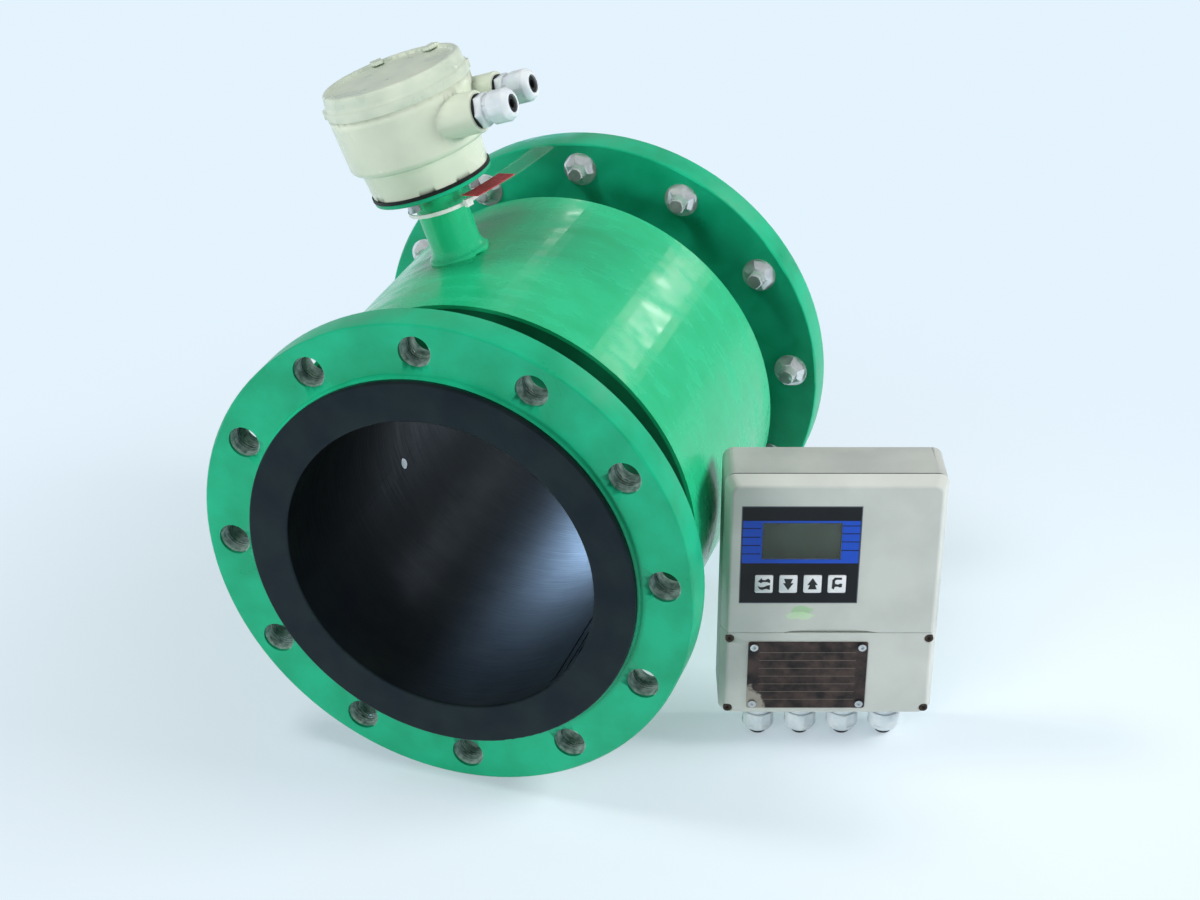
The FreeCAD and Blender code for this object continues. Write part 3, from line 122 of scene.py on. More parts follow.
# A finish is two colours in soft patches, a roughness that follows a fine grain, and relief from the
# grain and from a slow swell. Pattern sizes and relief are in mm, and stretch draws a pattern out.
def newFinish(name, look):
    material = bpy.data.materials.new(name)
    material.use_nodes = True
    tree = material.node_tree
    shader = tree.nodes["Principled BSDF"]
    for socket, value in look.get("shader", {}).items():
        shader.inputs[socket].default_value = value
    place = addNode(tree, "ShaderNodeTexCoord").outputs["Object"]
    pattern = {}
    for part, detail in finishPattern["detail"].items():
        size, *stretch = look[part]
        scale = [1 / (size * mm * along) for along in stretch or (1, 1, 1)]
        placed = addNode(tree, "ShaderNodeMapping", {"Vector": place, "Scale": scale})
        noise = addNode(tree, "ShaderNodeTexNoise", {"Vector": placed.outputs[0], "Scale": 1, "Detail": detail})
        pattern[part] = noise.outputs[0]
    patchLow, patchHigh = finishPattern["patchEdge"]
    share = addNode(
        tree, "ShaderNodeMapRange", {0: pattern["patch"], "From Min": patchLow, "From Max": patchHigh}
    )
    low, high = [toLinear(colour) for colour in look["colours"]]
    colour = addNode(tree, "ShaderNodeMix", {0: share.outputs[0], 6: low, 7: high}, data_type="RGBA")
    source = pattern[look.get("roughFrom", "grain")]
    least, most = look["rough"]
    roughLow, roughHigh = finishPattern["roughEdge"]
    rough = addNode(tree, "ShaderNodeMapRange", {
        0: source, "From Min": roughLow, "From Max": roughHigh, "To Min": least, "To Max": most,
    })
    swellDepth, grainDepth = look["relief"]
    swell = addNode(tree, "ShaderNodeBump", {
        "Height": pattern["swell"], "Distance": swellDepth * mm, "Strength": finishPattern["swellStrength"],
    })
    relief = addNode(tree, "ShaderNodeBump", {
        "Height": pattern["grain"], "Distance": grainDepth * mm, "Strength": finishPattern["grainStrength"],
        "Normal": swell.outputs[0],
    })
    tree.links.new(colour.outputs[2], shader.inputs["Base Color"])
    tree.links.new(rough.outputs[0], shader.inputs["Roughness"])
    tree.links.new(relief.outputs[0], shader.inputs["Normal"])
    return {"material": material, "tree": tree, "shader": shader, "place": place, "colour": colour.outputs[2]}


# stretch of a lathe's or a roll's marks: they run round the flow, and are fine along it
roundTheFlow = (12, 1, 12)

finishes = {
    # alkyd enamel sprayed on rolled steel: wet gloss, with the rolling marks telegraphing through it
    "alkydEnamelOnRolledSteel": {
        "colours": ("#20B87D", "#26C188"), "patch": (15, 2, 1, 2), "grain": (2.4, *roundTheFlow),
        "swell": (30,),
        "rough": (0.12, 0.36), "roughFrom": "patch", "relief": (0.35, 0.04),
        "shader": {"IOR": 1.5, "Specular IOR Level": 0.42},
    },
    # the same enamel on turned flanges: flatter, with faint rings and dull clouds
    "alkydEnamelOnTurnedSteel": {
        "colours": ("#0FA072", "#1AB586"), "patch": (38,), "grain": (1.6, *roundTheFlow), "swell": (14,),
        "rough": (0.26, 0.5), "roughFrom": "patch", "relief": (0.2, 0.03),
        "shader": {"IOR": 1.46, "Specular IOR Level": 0.35},
    },
    # painted shade: the enamel in the gap between the flanges and the casing is darkened to deep green to stand
    # for the shade that falls there, and dull
    "gapPaintedShadeEnamel": {
        "colours": ("#0C5C41", "#10704F"), "patch": (30,), "grain": (2, *roundTheFlow), "swell": (12,),
        "rough": (0.5, 0.65), "relief": (0.1, 0.03), "shader": {"IOR": 1.45},
    },
    # tapped carbon steel with overspray: dark, oily green-grey ridges
    "tappedCarbonSteel": {
        "colours": ("#6A8C81", "#B4CDC4"), "patch": (5,), "grain": (0.8,), "swell": (4,),
        "rough": (0.28, 0.42), "relief": (0.05, 0.03), "shader": {"Metallic": 0.25},
    },
    # chloroprene sheet, ground smooth: near black, with a cold sheen across the grinder's fine marks
    "groundChloroprene": {
        "colours": ("#0E1516", "#19211F"), "patch": (30,), "grain": (1.3, 26, 1, 26), "swell": (22,),
        "rough": (0.32, 0.5), "relief": (0.3, 0.12),
        "shader": {"IOR": 1.45, "Specular IOR Level": 0.4, "Specular Tint": toLinear("#A9CBEA")},
    },
    # polyester enamel on cast aluminium: cream, glossy, with the casting's slight unevenness
    "polyesterEnamelOnCastAluminium": {
        "colours": ("#D2DCC8", "#DBE4D0"), "patch": (34,), "grain": (0.9,), "swell": (9,),
        "rough": (0.16, 0.3), "roughFrom": "patch", "relief": (0.25, 0.01), "shader": {"IOR": 1.5},
    },
    # the same enamel on the lid: greyer than on the body, rougher, in soft patches
    "greyerLidPolyesterEnamel": {
        "colours": ("#C4D1C0", "#D6E0CD"), "patch": (26,), "grain": (0.9,), "swell": (9,),
        "rough": (0.24, 0.42), "roughFrom": "patch", "relief": (0.2, 0.01), "shader": {"IOR": 1.5},
    },
    # cold-drawn stainless bar, faced and bright dipped: crisp grey facets
    "brightDippedStainless": {
        "colours": ("#D6DCDE", "#F0F3F4"), "patch": (6,), "grain": (0.7,), "swell": (5,),
        "rough": (0.16, 0.22), "relief": (0.01, 0.002), "shader": {"Metallic": 0.7},
    },
    # turned stainless: fine rings and a faint stain
    "turnedStainless": {
        "colours": ("#B4B9BB", "#CDD1D3"), "patch": (6,), "grain": (0.5,), "swell": (5,),
        "rough": (0.24, 0.36), "relief": (0.02, 0.01), "shader": {"Metallic": 1},
    },
    # oil-blackened steel: brown-black and half dull
    "blackenedSteel": {
        "colours": ("#2E2621", "#4A3E35"), "patch": (3,), "grain": (0.5,), "swell": (3,),
        "rough": (0.38, 0.5), "relief": (0.05, 0.02), "shader": {"Metallic": 0.6},
    },
    # moulded polyamide: cool off-white, satin, slightly waxy
    "mouldedPolyamide": {
        "colours": ("#D5DEE4", "#E6ECEF"), "patch": (10,), "grain": (0.4,), "swell": (5,),
        "rough": (0.3, 0.42), "relief": (0.05, 0.015), "shader": {"IOR": 1.53, "Subsurface Weight": 0.05},
    },
    # natural polyamide strap: milky and satin
    "naturalPolyamide": {
        "colours": ("#DFE5E0", "#EDF1EC"), "patch": (8,), "grain": (0.4,), "swell": (3,),
        "rough": (0.34, 0.46), "relief": (0.03, 0.01), "shader": {"IOR": 1.53},
    },
    # white silicone rubber keys: soft and dull
    "whiteSiliconeRubber": {
        "colours": ("#E9ECF0", "#F4F5F7"), "patch": (9,), "grain": (0.4,), "swell": (4,),
        "rough": (0.48, 0.58), "relief": (0.02, 0.01), "shader": {"IOR": 1.41},
    },
    # nitrile rubber: black, dull, greyed at the surface
    "nitrileRubber": {
        "colours": ("#0A0B0C", "#191B1C"), "patch": (9,), "grain": (0.6,), "swell": (4,),
        "rough": (0.5, 0.64), "relief": (0.05, 0.02), "shader": {"IOR": 1.45},
    },
    # moulded phenolic terminal blocks: near black, satin
    "mouldedPhenolic": {
        "colours": ("#2A2E2F", "#373B3C"), "patch": (9,), "grain": (0.5,), "swell": (5,),
        "rough": (0.42, 0.54), "relief": (0.03, 0.02), "shader": {"IOR": 1.55},
    },
    # turned fluoropolymer bushes: white, waxy
    "turnedFluoropolymer": {
        "colours": ("#DCDDD7", "#E9EAE4"), "patch": (6,), "grain": (0.4,), "swell": (4,),
        "rough": (0.36, 0.46), "relief": (0.02, 0.01), "shader": {"IOR": 1.36},
    },
    # pad-printed ink: dense black with a little sheen
    "padPrintInk": {
        "colours": ("#08090B", "#121519"), "patch": (5,), "grain": (0.4,), "swell": (3,),
        "rough": (0.4, 0.5), "relief": (0.005, 0.005), "shader": {"IOR": 1.5},
    },
    # moulded ABS tray: mid grey, spark-eroded texture
    "mouldedAbsTray": {
        "colours": ("#A6AAA6", "#B3B7B2"), "patch": (40,), "grain": (0.6,), "swell": (24,),
        "rough": (0.38, 0.5), "relief": (0.05, 0.02), "shader": {"IOR": 1.53},
    },
    # moulded ABS covers: light warm grey, satin, cleaner than the tray
    "mouldedAbsCover": {
        "colours": ("#C3C7C1", "#CED2CC"), "patch": (48,), "grain": (0.6,), "swell": (30,),
        "rough": (0.3, 0.42), "relief": (0.08, 0.02), "shader": {"IOR": 1.53},
    },
    # glass fibre laminate under green lacquer
    "glassFibreLaminate": {
        "colours": ("#1B4A31", "#236040"), "patch": (12,), "grain": (0.5,), "swell": (5,),
        "rough": (0.34, 0.46), "relief": (0.02, 0.01), "shader": {"IOR": 1.55},
    },
    # unlit twisted nematic glass: olive grey, even
    "unlitDisplayGlass": {
        "colours": ("#2F4136", "#40544A"), "patch": (30,), "grain": (0.5,), "swell": (20,),
        "rough": (0.24, 0.3), "relief": (0.01, 0.005), "shader": {"IOR": 1.5},
    },
    # enamelled copper winding wire
    "enamelledCopperWire": {
        "colours": ("#9C5A33", "#B36E42"), "patch": (8,), "grain": (0.9, *roundTheFlow), "swell": (5,),
        "rough": (0.3, 0.42), "relief": (0.02, 0.05), "shader": {"Metallic": 1},
    },
    # silicon steel sheet
    "siliconSteelSheet": {
        "colours": ("#66686A", "#77797B"), "patch": (8,), "grain": (0.8,), "swell": (5,),
        "rough": (0.4, 0.52), "relief": (0.02, 0.02), "shader": {"Metallic": 1},
    },
    # cast acrylic window: clear, a touch grey-green
    "castAcrylic": {
        "colours": ("#A6B2A8", "#B2BCB2"), "patch": (20,), "grain": (1,), "swell": (12,),
        "rough": (0.1, 0.16), "relief": (0.05, 0.002), "shader": {"IOR": 1.49, "Alpha": 0.12},
    },
    # soft vinyl film: clear, rippled, with a bright edge
    "softVinylFilm": {
        "colours": ("#C2CDC6", "#D3DCD6"), "patch": (12,), "grain": (1.5,), "swell": (7,),
        "rough": (0.14, 0.24), "relief": (0.4, 0.01),
        "shader": {"IOR": 1.53, "Alpha": 0.07, "Specular IOR Level": 0.2},
    },
    # red coated card: saturated, satin, a little creased
    "coatedRedCard": {
        "colours": ("#C00B26", "#DE1A38"), "patch": (7,), "grain": (0.8,), "swell": (6,),
        "rough": (0.5, 0.6), "relief": (0.3, 0.02),
        "shader": {"IOR": 1.5, "Specular IOR Level": 0.1},
    },
    # polyester film printed on its back: even gloss over black
    "printedPolyesterFilm": {
        "colours": ("#0C1014", "#14181D"), "patch": (22,), "grain": (1,), "swell": (18,),
        "rough": (0.3, 0.4), "relief": (0.15, 0.005), "shader": {"IOR": 1.5, "Specular IOR Level": 0.25},
    },
    # dark anodised aluminium: uneven brown-black, half bright
    "darkAnodisedAluminium": {
        "colours": ("#1B1616", "#4A3B37"), "patch": (12,), "grain": (0.8,), "swell": (9,),
        "rough": (0.26, 0.46), "roughFrom": "patch", "relief": (0.04, 0.02), "shader": {"Metallic": 0.5},
    },
}
made = {name: newFinish(name, look) for name, look in finishes.items()}
print("finishes made:", len(made))


# merges a mesh's doubles and shades it smooth between edges sharper than angle
# edges sharper than this many degrees stay crisp, and the studs' low facets need less
crispEdge = {"usual": 32, "outlet_studs": 24, "hole_threads": 40}
weld = {"distance": 1e-6, "sliver": 1e-7}


def finishMesh(mesh, angle):
    work = bmesh.new()
    work.from_mesh(mesh)
    bmesh.ops.remove_doubles(work, verts=work.verts, dist=weld["distance"])
    bmesh.ops.dissolve_degenerate(work, edges=work.edges, dist=weld["sliver"])
    work.to_mesh(mesh)
    work.free()
    mesh.shade_smooth()
    mesh.set_sharp_from_angle(angle=math.radians(angle))


# a smooth copy of a node stands for it
def dress(node, finish):
    mesh = nodes[node].data.copy()
    finishMesh(mesh, crispEdge.get(node, crispEdge["usual"]))
    mesh.materials.clear()
    mesh.materials.append(made[finish]["material"])
    piece = bpy.data.objects.new(f"{node}_finished", mesh)
    bpy.context.scene.collection.objects.link(piece)
    weighted = piece.modifiers.new("flatFacesStayFlat", "WEIGHTED_NORMAL")
    weighted.keep_sharp = True
    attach(piece, nodes[node]["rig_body"])
    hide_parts(node)
    return piece


def addMesh(name, mesh, body, finish):
    mesh.materials.clear()
    mesh.materials.append(made[finish]["material"])
    piece = bpy.data.objects.new(name, mesh)
    bpy.context.scene.collection.objects.link(piece)
    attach(piece, body)


sensorParts = {
    "inlet_flange": ("alkydEnamelOnTurnedSteel", "green_paint"),
    "outlet_flange": ("alkydEnamelOnTurnedSteel", "green_paint"),
    "casing_shell": ("alkydEnamelOnRolledSteel", "green_paint"),
    "neck_tube": ("alkydEnamelOnRolledSteel", "green_paint"),
    "head_plate": ("alkydEnamelOnTurnedSteel", "green_paint"),
    # the measuring tube and the casing's ends in the gap take the darkened enamel, as painted shade
    "measuring_tube": ("gapPaintedShadeEnamel", "green_paint"),
    "casing_end_inlet": ("gapPaintedShadeEnamel", "green_paint"),
    "casing_end_outlet": ("gapPaintedShadeEnamel", "green_paint"),
    "liner": ("groundChloroprene", "liner_rubber"),
    "electrode_left": ("turnedStainless", "electrode_steel"),
    "electrode_right": ("turnedStainless", "electrode_steel"),
    "outlet_studs": ("brightDippedStainless", "screw_steel"),
    "head_screws": ("turnedStainless", "screw_steel"),
    "head_gasket": ("nitrileRubber", "gasket_rubber"),
    "head_body": ("polyesterEnamelOnCastAluminium", "head_enamel"),
    "head_lid": ("greyerLidPolyesterEnamel", "head_enamel"),
    "cable_tie": ("naturalPolyamide", "tie_nylon"),
    "tag_card": ("coatedRedCard", "tag_card"),
    "tag_sleeve": ("softVinylFilm", "tag_film"),
}
converterParts = {
    "front_cover": ("mouldedAbsCover", "case_plastic"),
    "terminal_cover": ("mouldedAbsCover", "case_plastic"),
    "converter_case": ("mouldedAbsTray", "case_plastic"),
    "cover_screws": ("blackenedSteel", "screw_steel"),
    "name_plate": ("darkAnodisedAluminium", "plate_metal"),
    "name_plate_screws": ("turnedStainless", "screw_steel"),
    "keypad_panel": ("printedPolyesterFilm", "panel_film"),
}
for number in range(1, 5):
    converterParts[f"key_{number}"] = ("whiteSiliconeRubber", "key_plastic")
for node in sorted(nodes):
    if "_gland_" in node and node.endswith(("_body", "_nut")):
        converterParts[node] = ("mouldedPolyamide", "gland_nylon")
    elif node.endswith(("_seals", "_washers")):
        converterParts[node] = ("nitrileRubber", "gasket_rubber")
for node, (finish, slot) in {**sensorParts, **converterParts}.items():
    dress(node, finish)

# what lies inside keeps its own mesh
insideParts = {
    "pole_plate_upper": "siliconSteelSheet", "pole_plate_lower": "siliconSteelSheet",
    "yoke_band": "siliconSteelSheet", "coil_upper": "enamelledCopperWire", "coil_lower": "enamelledCopperWire",
    "electrode_bushes": "turnedFluoropolymer", "electrode_nuts": "turnedStainless",
    "lid_ring": "nitrileRubber", "cover_gasket": "nitrileRubber",
    "terminal_block": "mouldedPhenolic", "terminal_strip": "mouldedPhenolic",
    "main_board": "glassFibreLaminate",
    "display_module": "unlitDisplayGlass", "display_window": "castAcrylic",
}
for node, finish in insideParts.items():
    nodes[node].data.materials.clear()
    nodes[node].data.materials.append(made[finish]["material"])
print("CAD nodes finished:", len(sensorParts) + len(converterParts) + len(insideParts))

# Tapped ridges in the inlet flange's holes, close enough to cover the wall. They are coarser than the
# real thread, so that they show.
boltMount = next(mount for mount in frame["record"]["mounts"] if mount["name"] == "inlet_bolts")
holeThreads = {
    "Radius": boltMount["dims"]["hole_r_mm"] * mm,
    "Circle": boltMount["dims"]["pcd_mm"] / 2 * mm,
    "Count": boltMount["dims"]["count"],
    "Length": 26.5 * mm,
    "Pitch": 2.9 * mm,
    "Ridge": 1.45 * mm,
}
threadStart = 1.5 * mm  # from the flange's face


def cutThreads(name):
    tree = bpy.data.node_groups.new(name, "GeometryNodeTree")
    for label, number in holeThreads.items():
        kind = "NodeSocketInt" if isinstance(number, int) else "NodeSocketFloat"
        tree.interface.new_socket(label, in_out="INPUT", socket_type=kind)
    tree.interface.new_socket("Geometry", in_out="OUTPUT", socket_type="NodeSocketGeometry")
    given = addNode(tree, "NodeGroupInput").outputs
    turns = addNode(tree, "ShaderNodeMath", {0: given["Length"], 1: given["Pitch"]}, operation="DIVIDE")
    helix = addNode(tree, "GeometryNodeCurveSpiral", {
        "Resolution": 24, "Rotations": turns.outputs[0], "Start Radius": given["Radius"],
        "End Radius": given["Radius"], "Height": given["Length"],
    })
    section = addNode(tree, "GeometryNodeCurvePrimitiveCircle", {"Resolution": 4, "Radius": given["Ridge"]})
    ridge = addNode(tree, "GeometryNodeCurveToMesh", {
        "Curve": helix.outputs[0], "Profile Curve": section.outputs[0], "Fill Caps": True,
    })
    ring = addNode(tree, "GeometryNodeMeshCircle", {"Vertices": given["Count"], "Radius": given["Circle"]})
    many = addNode(
        tree, "GeometryNodeInstanceOnPoints", {"Points": ring.outputs[0], "Instance": ridge.outputs[0]}
    )
    real = addNode(tree, "GeometryNodeRealizeInstances", {0: many.outputs[0]})
    painted = addNode(tree, "GeometryNodeSetMaterial", {
        "Geometry": real.outputs[0], "Material": made["tappedCarbonSteel"]["material"],
    })
    addNode(tree, "NodeGroupOutput", {0: painted.outputs[0]})

    seed = bpy.data.objects.new(name, bpy.data.meshes.new(name))
    bpy.context.scene.collection.objects.link(seed)
    grown = seed.modifiers.new("grown", "NODES")
    grown.node_group = tree
    for item in tree.interface.items_tree:
        if item.in_out == "INPUT":
            grown[item.identifier] = holeThreads[item.name]
    evaluated = seed.evaluated_get(bpy.context.evaluated_depsgraph_get())
    mesh = bpy.data.meshes.new_from_object(evaluated)
    seed.modifiers.remove(grown)
    seed.data = mesh
    inletFace = Vector(boltMount["pos_m"]).y
    mesh.transform(
        sensorTurn
        @ Matrix.Translation((0, inletFace + holeThreads["Length"] + threadStart, 0))
        @ Matrix.Rotation(math.pi / holeThreads["Count"], 4, "Y")
        @ Matrix.Rotation(math.pi / 2, 4, "X")
    )
    mesh.shade_smooth()
    mesh.set_sharp_from_angle(angle=math.radians(crispEdge[name]))
    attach(seed, "meter")


cutThreads("hole_threads")
print("threads cut")

# lapped edges of the rubber sheet, along the bore's lower right side, in degrees from the top and in mm:
# each lap stands proud at one edge, runs down to its low edge and sinks its back into the lining
liningSeams = {
    "radius": 124.9, "angles": (104, 112, 118, 126, 133), "width": 7, "proud": 0.7, "low": 0.15, "sunk": 0.3,
    "start": -196, "end": 196,
}


def addSeams(name):
    work = bmesh.new()
    proud, low, sunk = liningSeams["proud"], liningSeams["low"], liningSeams["sunk"]
    for angle in liningSeams["angles"]:
        corners = []
        for y in (liningSeams["start"], liningSeams["end"]):
            for across, depth in ((0, sunk), (0, -proud), (1, -low), (1, sunk)):
                turn = math.radians(angle) + across * liningSeams["width"] / liningSeams["radius"]
                radius = (liningSeams["radius"] + depth) * mm
                corners.append(work.verts.new((radius * math.sin(turn), y * mm, radius * math.cos(turn))))
        first, last = corners[:4], corners[4:]
        for place in range(4):
            after = (place + 1) % 4
            work.faces.new((first[place], first[after], last[after], last[place]))
        work.faces.new(first[::-1])
        work.faces.new(last)
    bmesh.ops.recalc_face_normals(work, faces=work.faces)
    mesh = bpy.data.meshes.new(name)
    work.to_mesh(mesh)
    work.free()
    addMesh(name, mesh, "meter", "groundChloroprene")


addSeams("lining_seams")
print("lining seamed")


# x and z in the converter's own frame, for a finish that is printed or worn by place
def converterAxes(finish):
    flat = addNode(finish["tree"], "ShaderNodeMapping", {
        "Vector": finish["place"], "Rotation": (0, 0, -converterTurn.to_euler().z),
    })
    split = addNode(finish["tree"], "ShaderNodeSeparateXYZ", {0: flat.outputs[0]})
    return split.outputs[0], split.outputs[2]


# a colour over what the finish has so far, as strong as its share
def layPaint(finish, share, paint):
    mixed = addNode(
        finish["tree"], "ShaderNodeMix", {0: share, 6: finish["colour"], 7: toLinear(paint)}, data_type="RGBA"
    )
    finish["colour"] = mixed.outputs[2]
    finish["tree"].links.new(finish["colour"], finish["shader"].inputs["Base Color"])


# paint inside a box of the finish
def paintBox(finish, axes, low, high, paint, share=1.0):
    tree = finish["tree"]
    for axis, least, most in zip(axes, low, high):
        over = addNode(tree, "ShaderNodeMath", {0: axis, 1: least}, operation="GREATER_THAN")
        under = addNode(tree, "ShaderNodeMath", {0: axis, 1: most}, operation="LESS_THAN")
        both = addNode(tree, "ShaderNodeMath", {0: over.outputs[0], 1: under.outputs[0]}, operation="MULTIPLY")
        share = addNode(tree, "ShaderNodeMath", {0: both.outputs[0], 1: share}, operation="MULTIPLY").outputs[0]
    layPaint(finish, share, paint)


# how an oval's edge frays: the noise per metre and its weight, and the sums between which the paint fades
frayedEdge = {"scale": 160, "detail": 3, "weight": 1.6, "full": 1.5, "gone": 1.85}


# paint inside a ragged oval of the finish
def paintOval(finish, axes, middle, reach, paint, share):
    tree = finish["tree"]
    ragged = addNode(tree, "ShaderNodeTexNoise", {
        "Vector": finish["place"], "Scale": frayedEdge["scale"], "Detail": frayedEdge["detail"],
    })
    weighted = addNode(
        tree, "ShaderNodeMath", {0: ragged.outputs[0], 1: frayedEdge["weight"]}, operation="MULTIPLY"
    )
    edge = weighted.outputs[0]
    for axis, centre, size in zip(axes, middle, reach):
        apart = addNode(tree, "ShaderNodeMath", {0: axis, 1: centre}, operation="SUBTRACT")
        scaled = addNode(tree, "ShaderNodeMath", {0: apart.outputs[0], 1: size}, operation="DIVIDE")
        squared = addNode(tree, "ShaderNodeMath", {0: scaled.outputs[0], 1: 2}, operation="POWER")
        edge = addNode(tree, "ShaderNodeMath", {0: edge, 1: squared.outputs[0]}, operation="ADD").outputs[0]
    amount = addNode(tree, "ShaderNodeMapRange", {
        0: edge, "From Min": frayedEdge["full"], "From Max": frayedEdge["gone"], "To Min": share, "To Max": 0,
    })
    layPaint(finish, amount.outputs[0], paint)


# a pale green smear in two parts on the front cover, in mm from the panel's lower left corner
panelLow, panelHigh = localBox("keypad_panel", converterTurn)
smear = {
    "darker": {"at": (50, -7), "size": (9.5, 4.5), "colour": "#9FCF93", "share": 0.75},
    "paler": {"at": (48.5, -12), "size": (12.5, 4), "colour": "#C9EABD", "share": 0.7},
}
coverFinish = made["mouldedAbsCover"]
coverAxes = converterAxes(coverFinish)
for part in smear.values():
    middle = [corner + offset * mm for corner, offset in zip((panelLow.x, panelLow.z), part["at"])]
    reach = [size * mm for size in part["size"]]
    paintOval(coverFinish, coverAxes, middle, reach, part["colour"], part["share"])

# the keypad's print, measured down from the panel's top edge
windowLow, windowHigh = localBox("display_window", converterTurn)
panelPrint = {
    "rim": 0.7, "rimColour": "#59616A", "bandTop": 13, "bandFoot": 51.6, "bandInset": 1.1, "blue": "#1B50C4",
    "line": 0.9, "lineStop": 1.5, "lineColour": "#0F1832",
    "leftLines": (19.8, 27.7, 35.3, 43), "rightLines": (17.5, 24.6, 32, 39.8),
}


def printPanel(finish):
    axes = converterAxes(finish)
    top = panelHigh.z
    rim = panelPrint["rim"] * mm
    sides = (
        ((panelLow.x - rim, panelLow.z - rim), (panelLow.x + rim, top + rim)),
        ((panelHigh.x - rim, panelLow.z - rim), (panelHigh.x + rim, top + rim)),
        ((panelLow.x, panelLow.z - rim), (panelHigh.x, panelLow.z + rim)),
        ((panelLow.x, top - rim), (panelHigh.x, top + rim)),
    )
    for low, high in sides:
        paintBox(finish, axes, low, high, panelPrint["rimColour"])
    inset = panelPrint["bandInset"] * mm
    paintBox(
        finish, axes, (panelLow.x + inset, top - panelPrint["bandFoot"] * mm),
        (panelHigh.x - inset, top - panelPrint["bandTop"] * mm), panelPrint["blue"],
    )
    half = panelPrint["line"] / 2 * mm
    strips = (
        (panelPrint["leftLines"], panelLow.x + inset, windowLow.x - panelPrint["lineStop"] * mm),
        (panelPrint["rightLines"], windowHigh.x, panelHigh.x - inset),
    )
    for levels, left, right in strips:
        for level in levels:
            middle = top - level * mm
            paintBox(finish, axes, (left, middle - half), (right, middle + half), panelPrint["lineColour"])


printPanel(made["printedPolyesterFilm"])

# thin rules across the plate, and a worn lower corner
plateLow, plateHigh = localBox("name_plate", converterTurn)
platePrint = {
    "rules": 7, "first": 10, "pitch": 7.6, "line": 0.36, "inset": 9, "ruleColour": "#8B7F74",
    "ruleShare": 0.7, "worn": (15, 22), "wornColour": "#B9B1A5", "wornShare": 0.7,
}


def wearPlate(finish):
    axes = converterAxes(finish)
    worn = [size * mm for size in platePrint["worn"]]
    paintOval(finish, axes, (plateLow.x, plateLow.z), worn, platePrint["wornColour"], platePrint["wornShare"])
    inset, half = platePrint["inset"] * mm, platePrint["line"] / 2 * mm
    for row in range(platePrint["rules"]):
        level = plateHigh.z - (platePrint["first"] + platePrint["pitch"] * row) * mm
        paintBox(
            finish, axes, (plateLow.x + inset, level - half), (plateHigh.x - inset, level + half),
            platePrint["ruleColour"], platePrint["ruleShare"],
        )


wearPlate(made["darkAnodisedAluminium"])
print("converter front printed")

# printed marks on the keys, in mm from each key's middle
keyMarks = {
    "depth": 0.06,
    "key_1": (
        ((-4.8, 2.4), (-1.8, 5.6), (-1.5, 4.0), (1.0, 3.7), (3.2, 5.2), (4.8, 3.6), (4.8, 0.9), (2.4, 1.9),
         (-0.8, 1.9), (-2.4, 0.9)),
        ((-4.8, -1.6), (-2.6, -3.0), (0.2, -2.6), (2.4, -1.4), (4.8, -0.7), (4.8, -5.4), (1.8, -4.4),
         (-1.4, -5.5), (-3.6, -4.6)),
    ),
    "key_2": (((-3.5, 4.9), (3.5, 4.9), (2.1, 0.9), (4.1, 0.9), (0, -5.6), (-4.1, 0.9), (-2.1, 0.9)),),
    "key_3": (((-3.5, -4.9), (3.5, -4.9), (2.1, -0.9), (4.1, -0.9), (0, 5.6), (-4.1, -0.9), (-2.1, -0.9)),),
    "key_4": (
        ((3.7, 6.0), (3.7, 4.0), (-0.4, 4.1), (-1.6, 2.9), (-1.5, 0.4), (0.9, -0.4), (2.4, 0.5), (4.0, 0.4),
         (4.0, -2.8), (2.2, -3.1), (0.6, -2.3), (-1.5, -2.6), (-2.2, -5.0), (-3.9, -3.9), (-3.7, 3.6),
         (-1.8, 6.1)),
    ),
}


def addKeyMark(number):
    name = f"key_{number}"
    low, high = localBox(name, converterTurn)
    centreX, centreZ = (low.x + high.x) / 2, (low.z + high.z) / 2
    front = low.y - keyMarks["depth"] * mm
    work = bmesh.new()
    for outline in keyMarks[name]:
        corners = [work.verts.new((centreX + x * mm, front, centreZ + z * mm)) for x, z in outline]
        face = work.faces.new(corners)
        grown = bmesh.ops.extrude_face_region(work, geom=[face])["geom"]
        moved = [item for item in grown if isinstance(item, bmesh.types.BMVert)]
        bmesh.ops.translate(work, verts=moved, vec=(0, 2 * keyMarks["depth"] * mm, 0))
    bmesh.ops.triangulate(work, faces=work.faces)
    bmesh.ops.recalc_face_normals(work, faces=work.faces)
    mesh = bpy.data.meshes.new(f"key_mark_{number}")
    work.to_mesh(mesh)
    work.free()
    mesh.transform(converterTurn)
    addMesh(f"key_mark_{number}", mesh, f"key_cap_{number}", "padPrintInk")


for number in range(1, 5):
    addKeyMark(number)
print("keys marked")

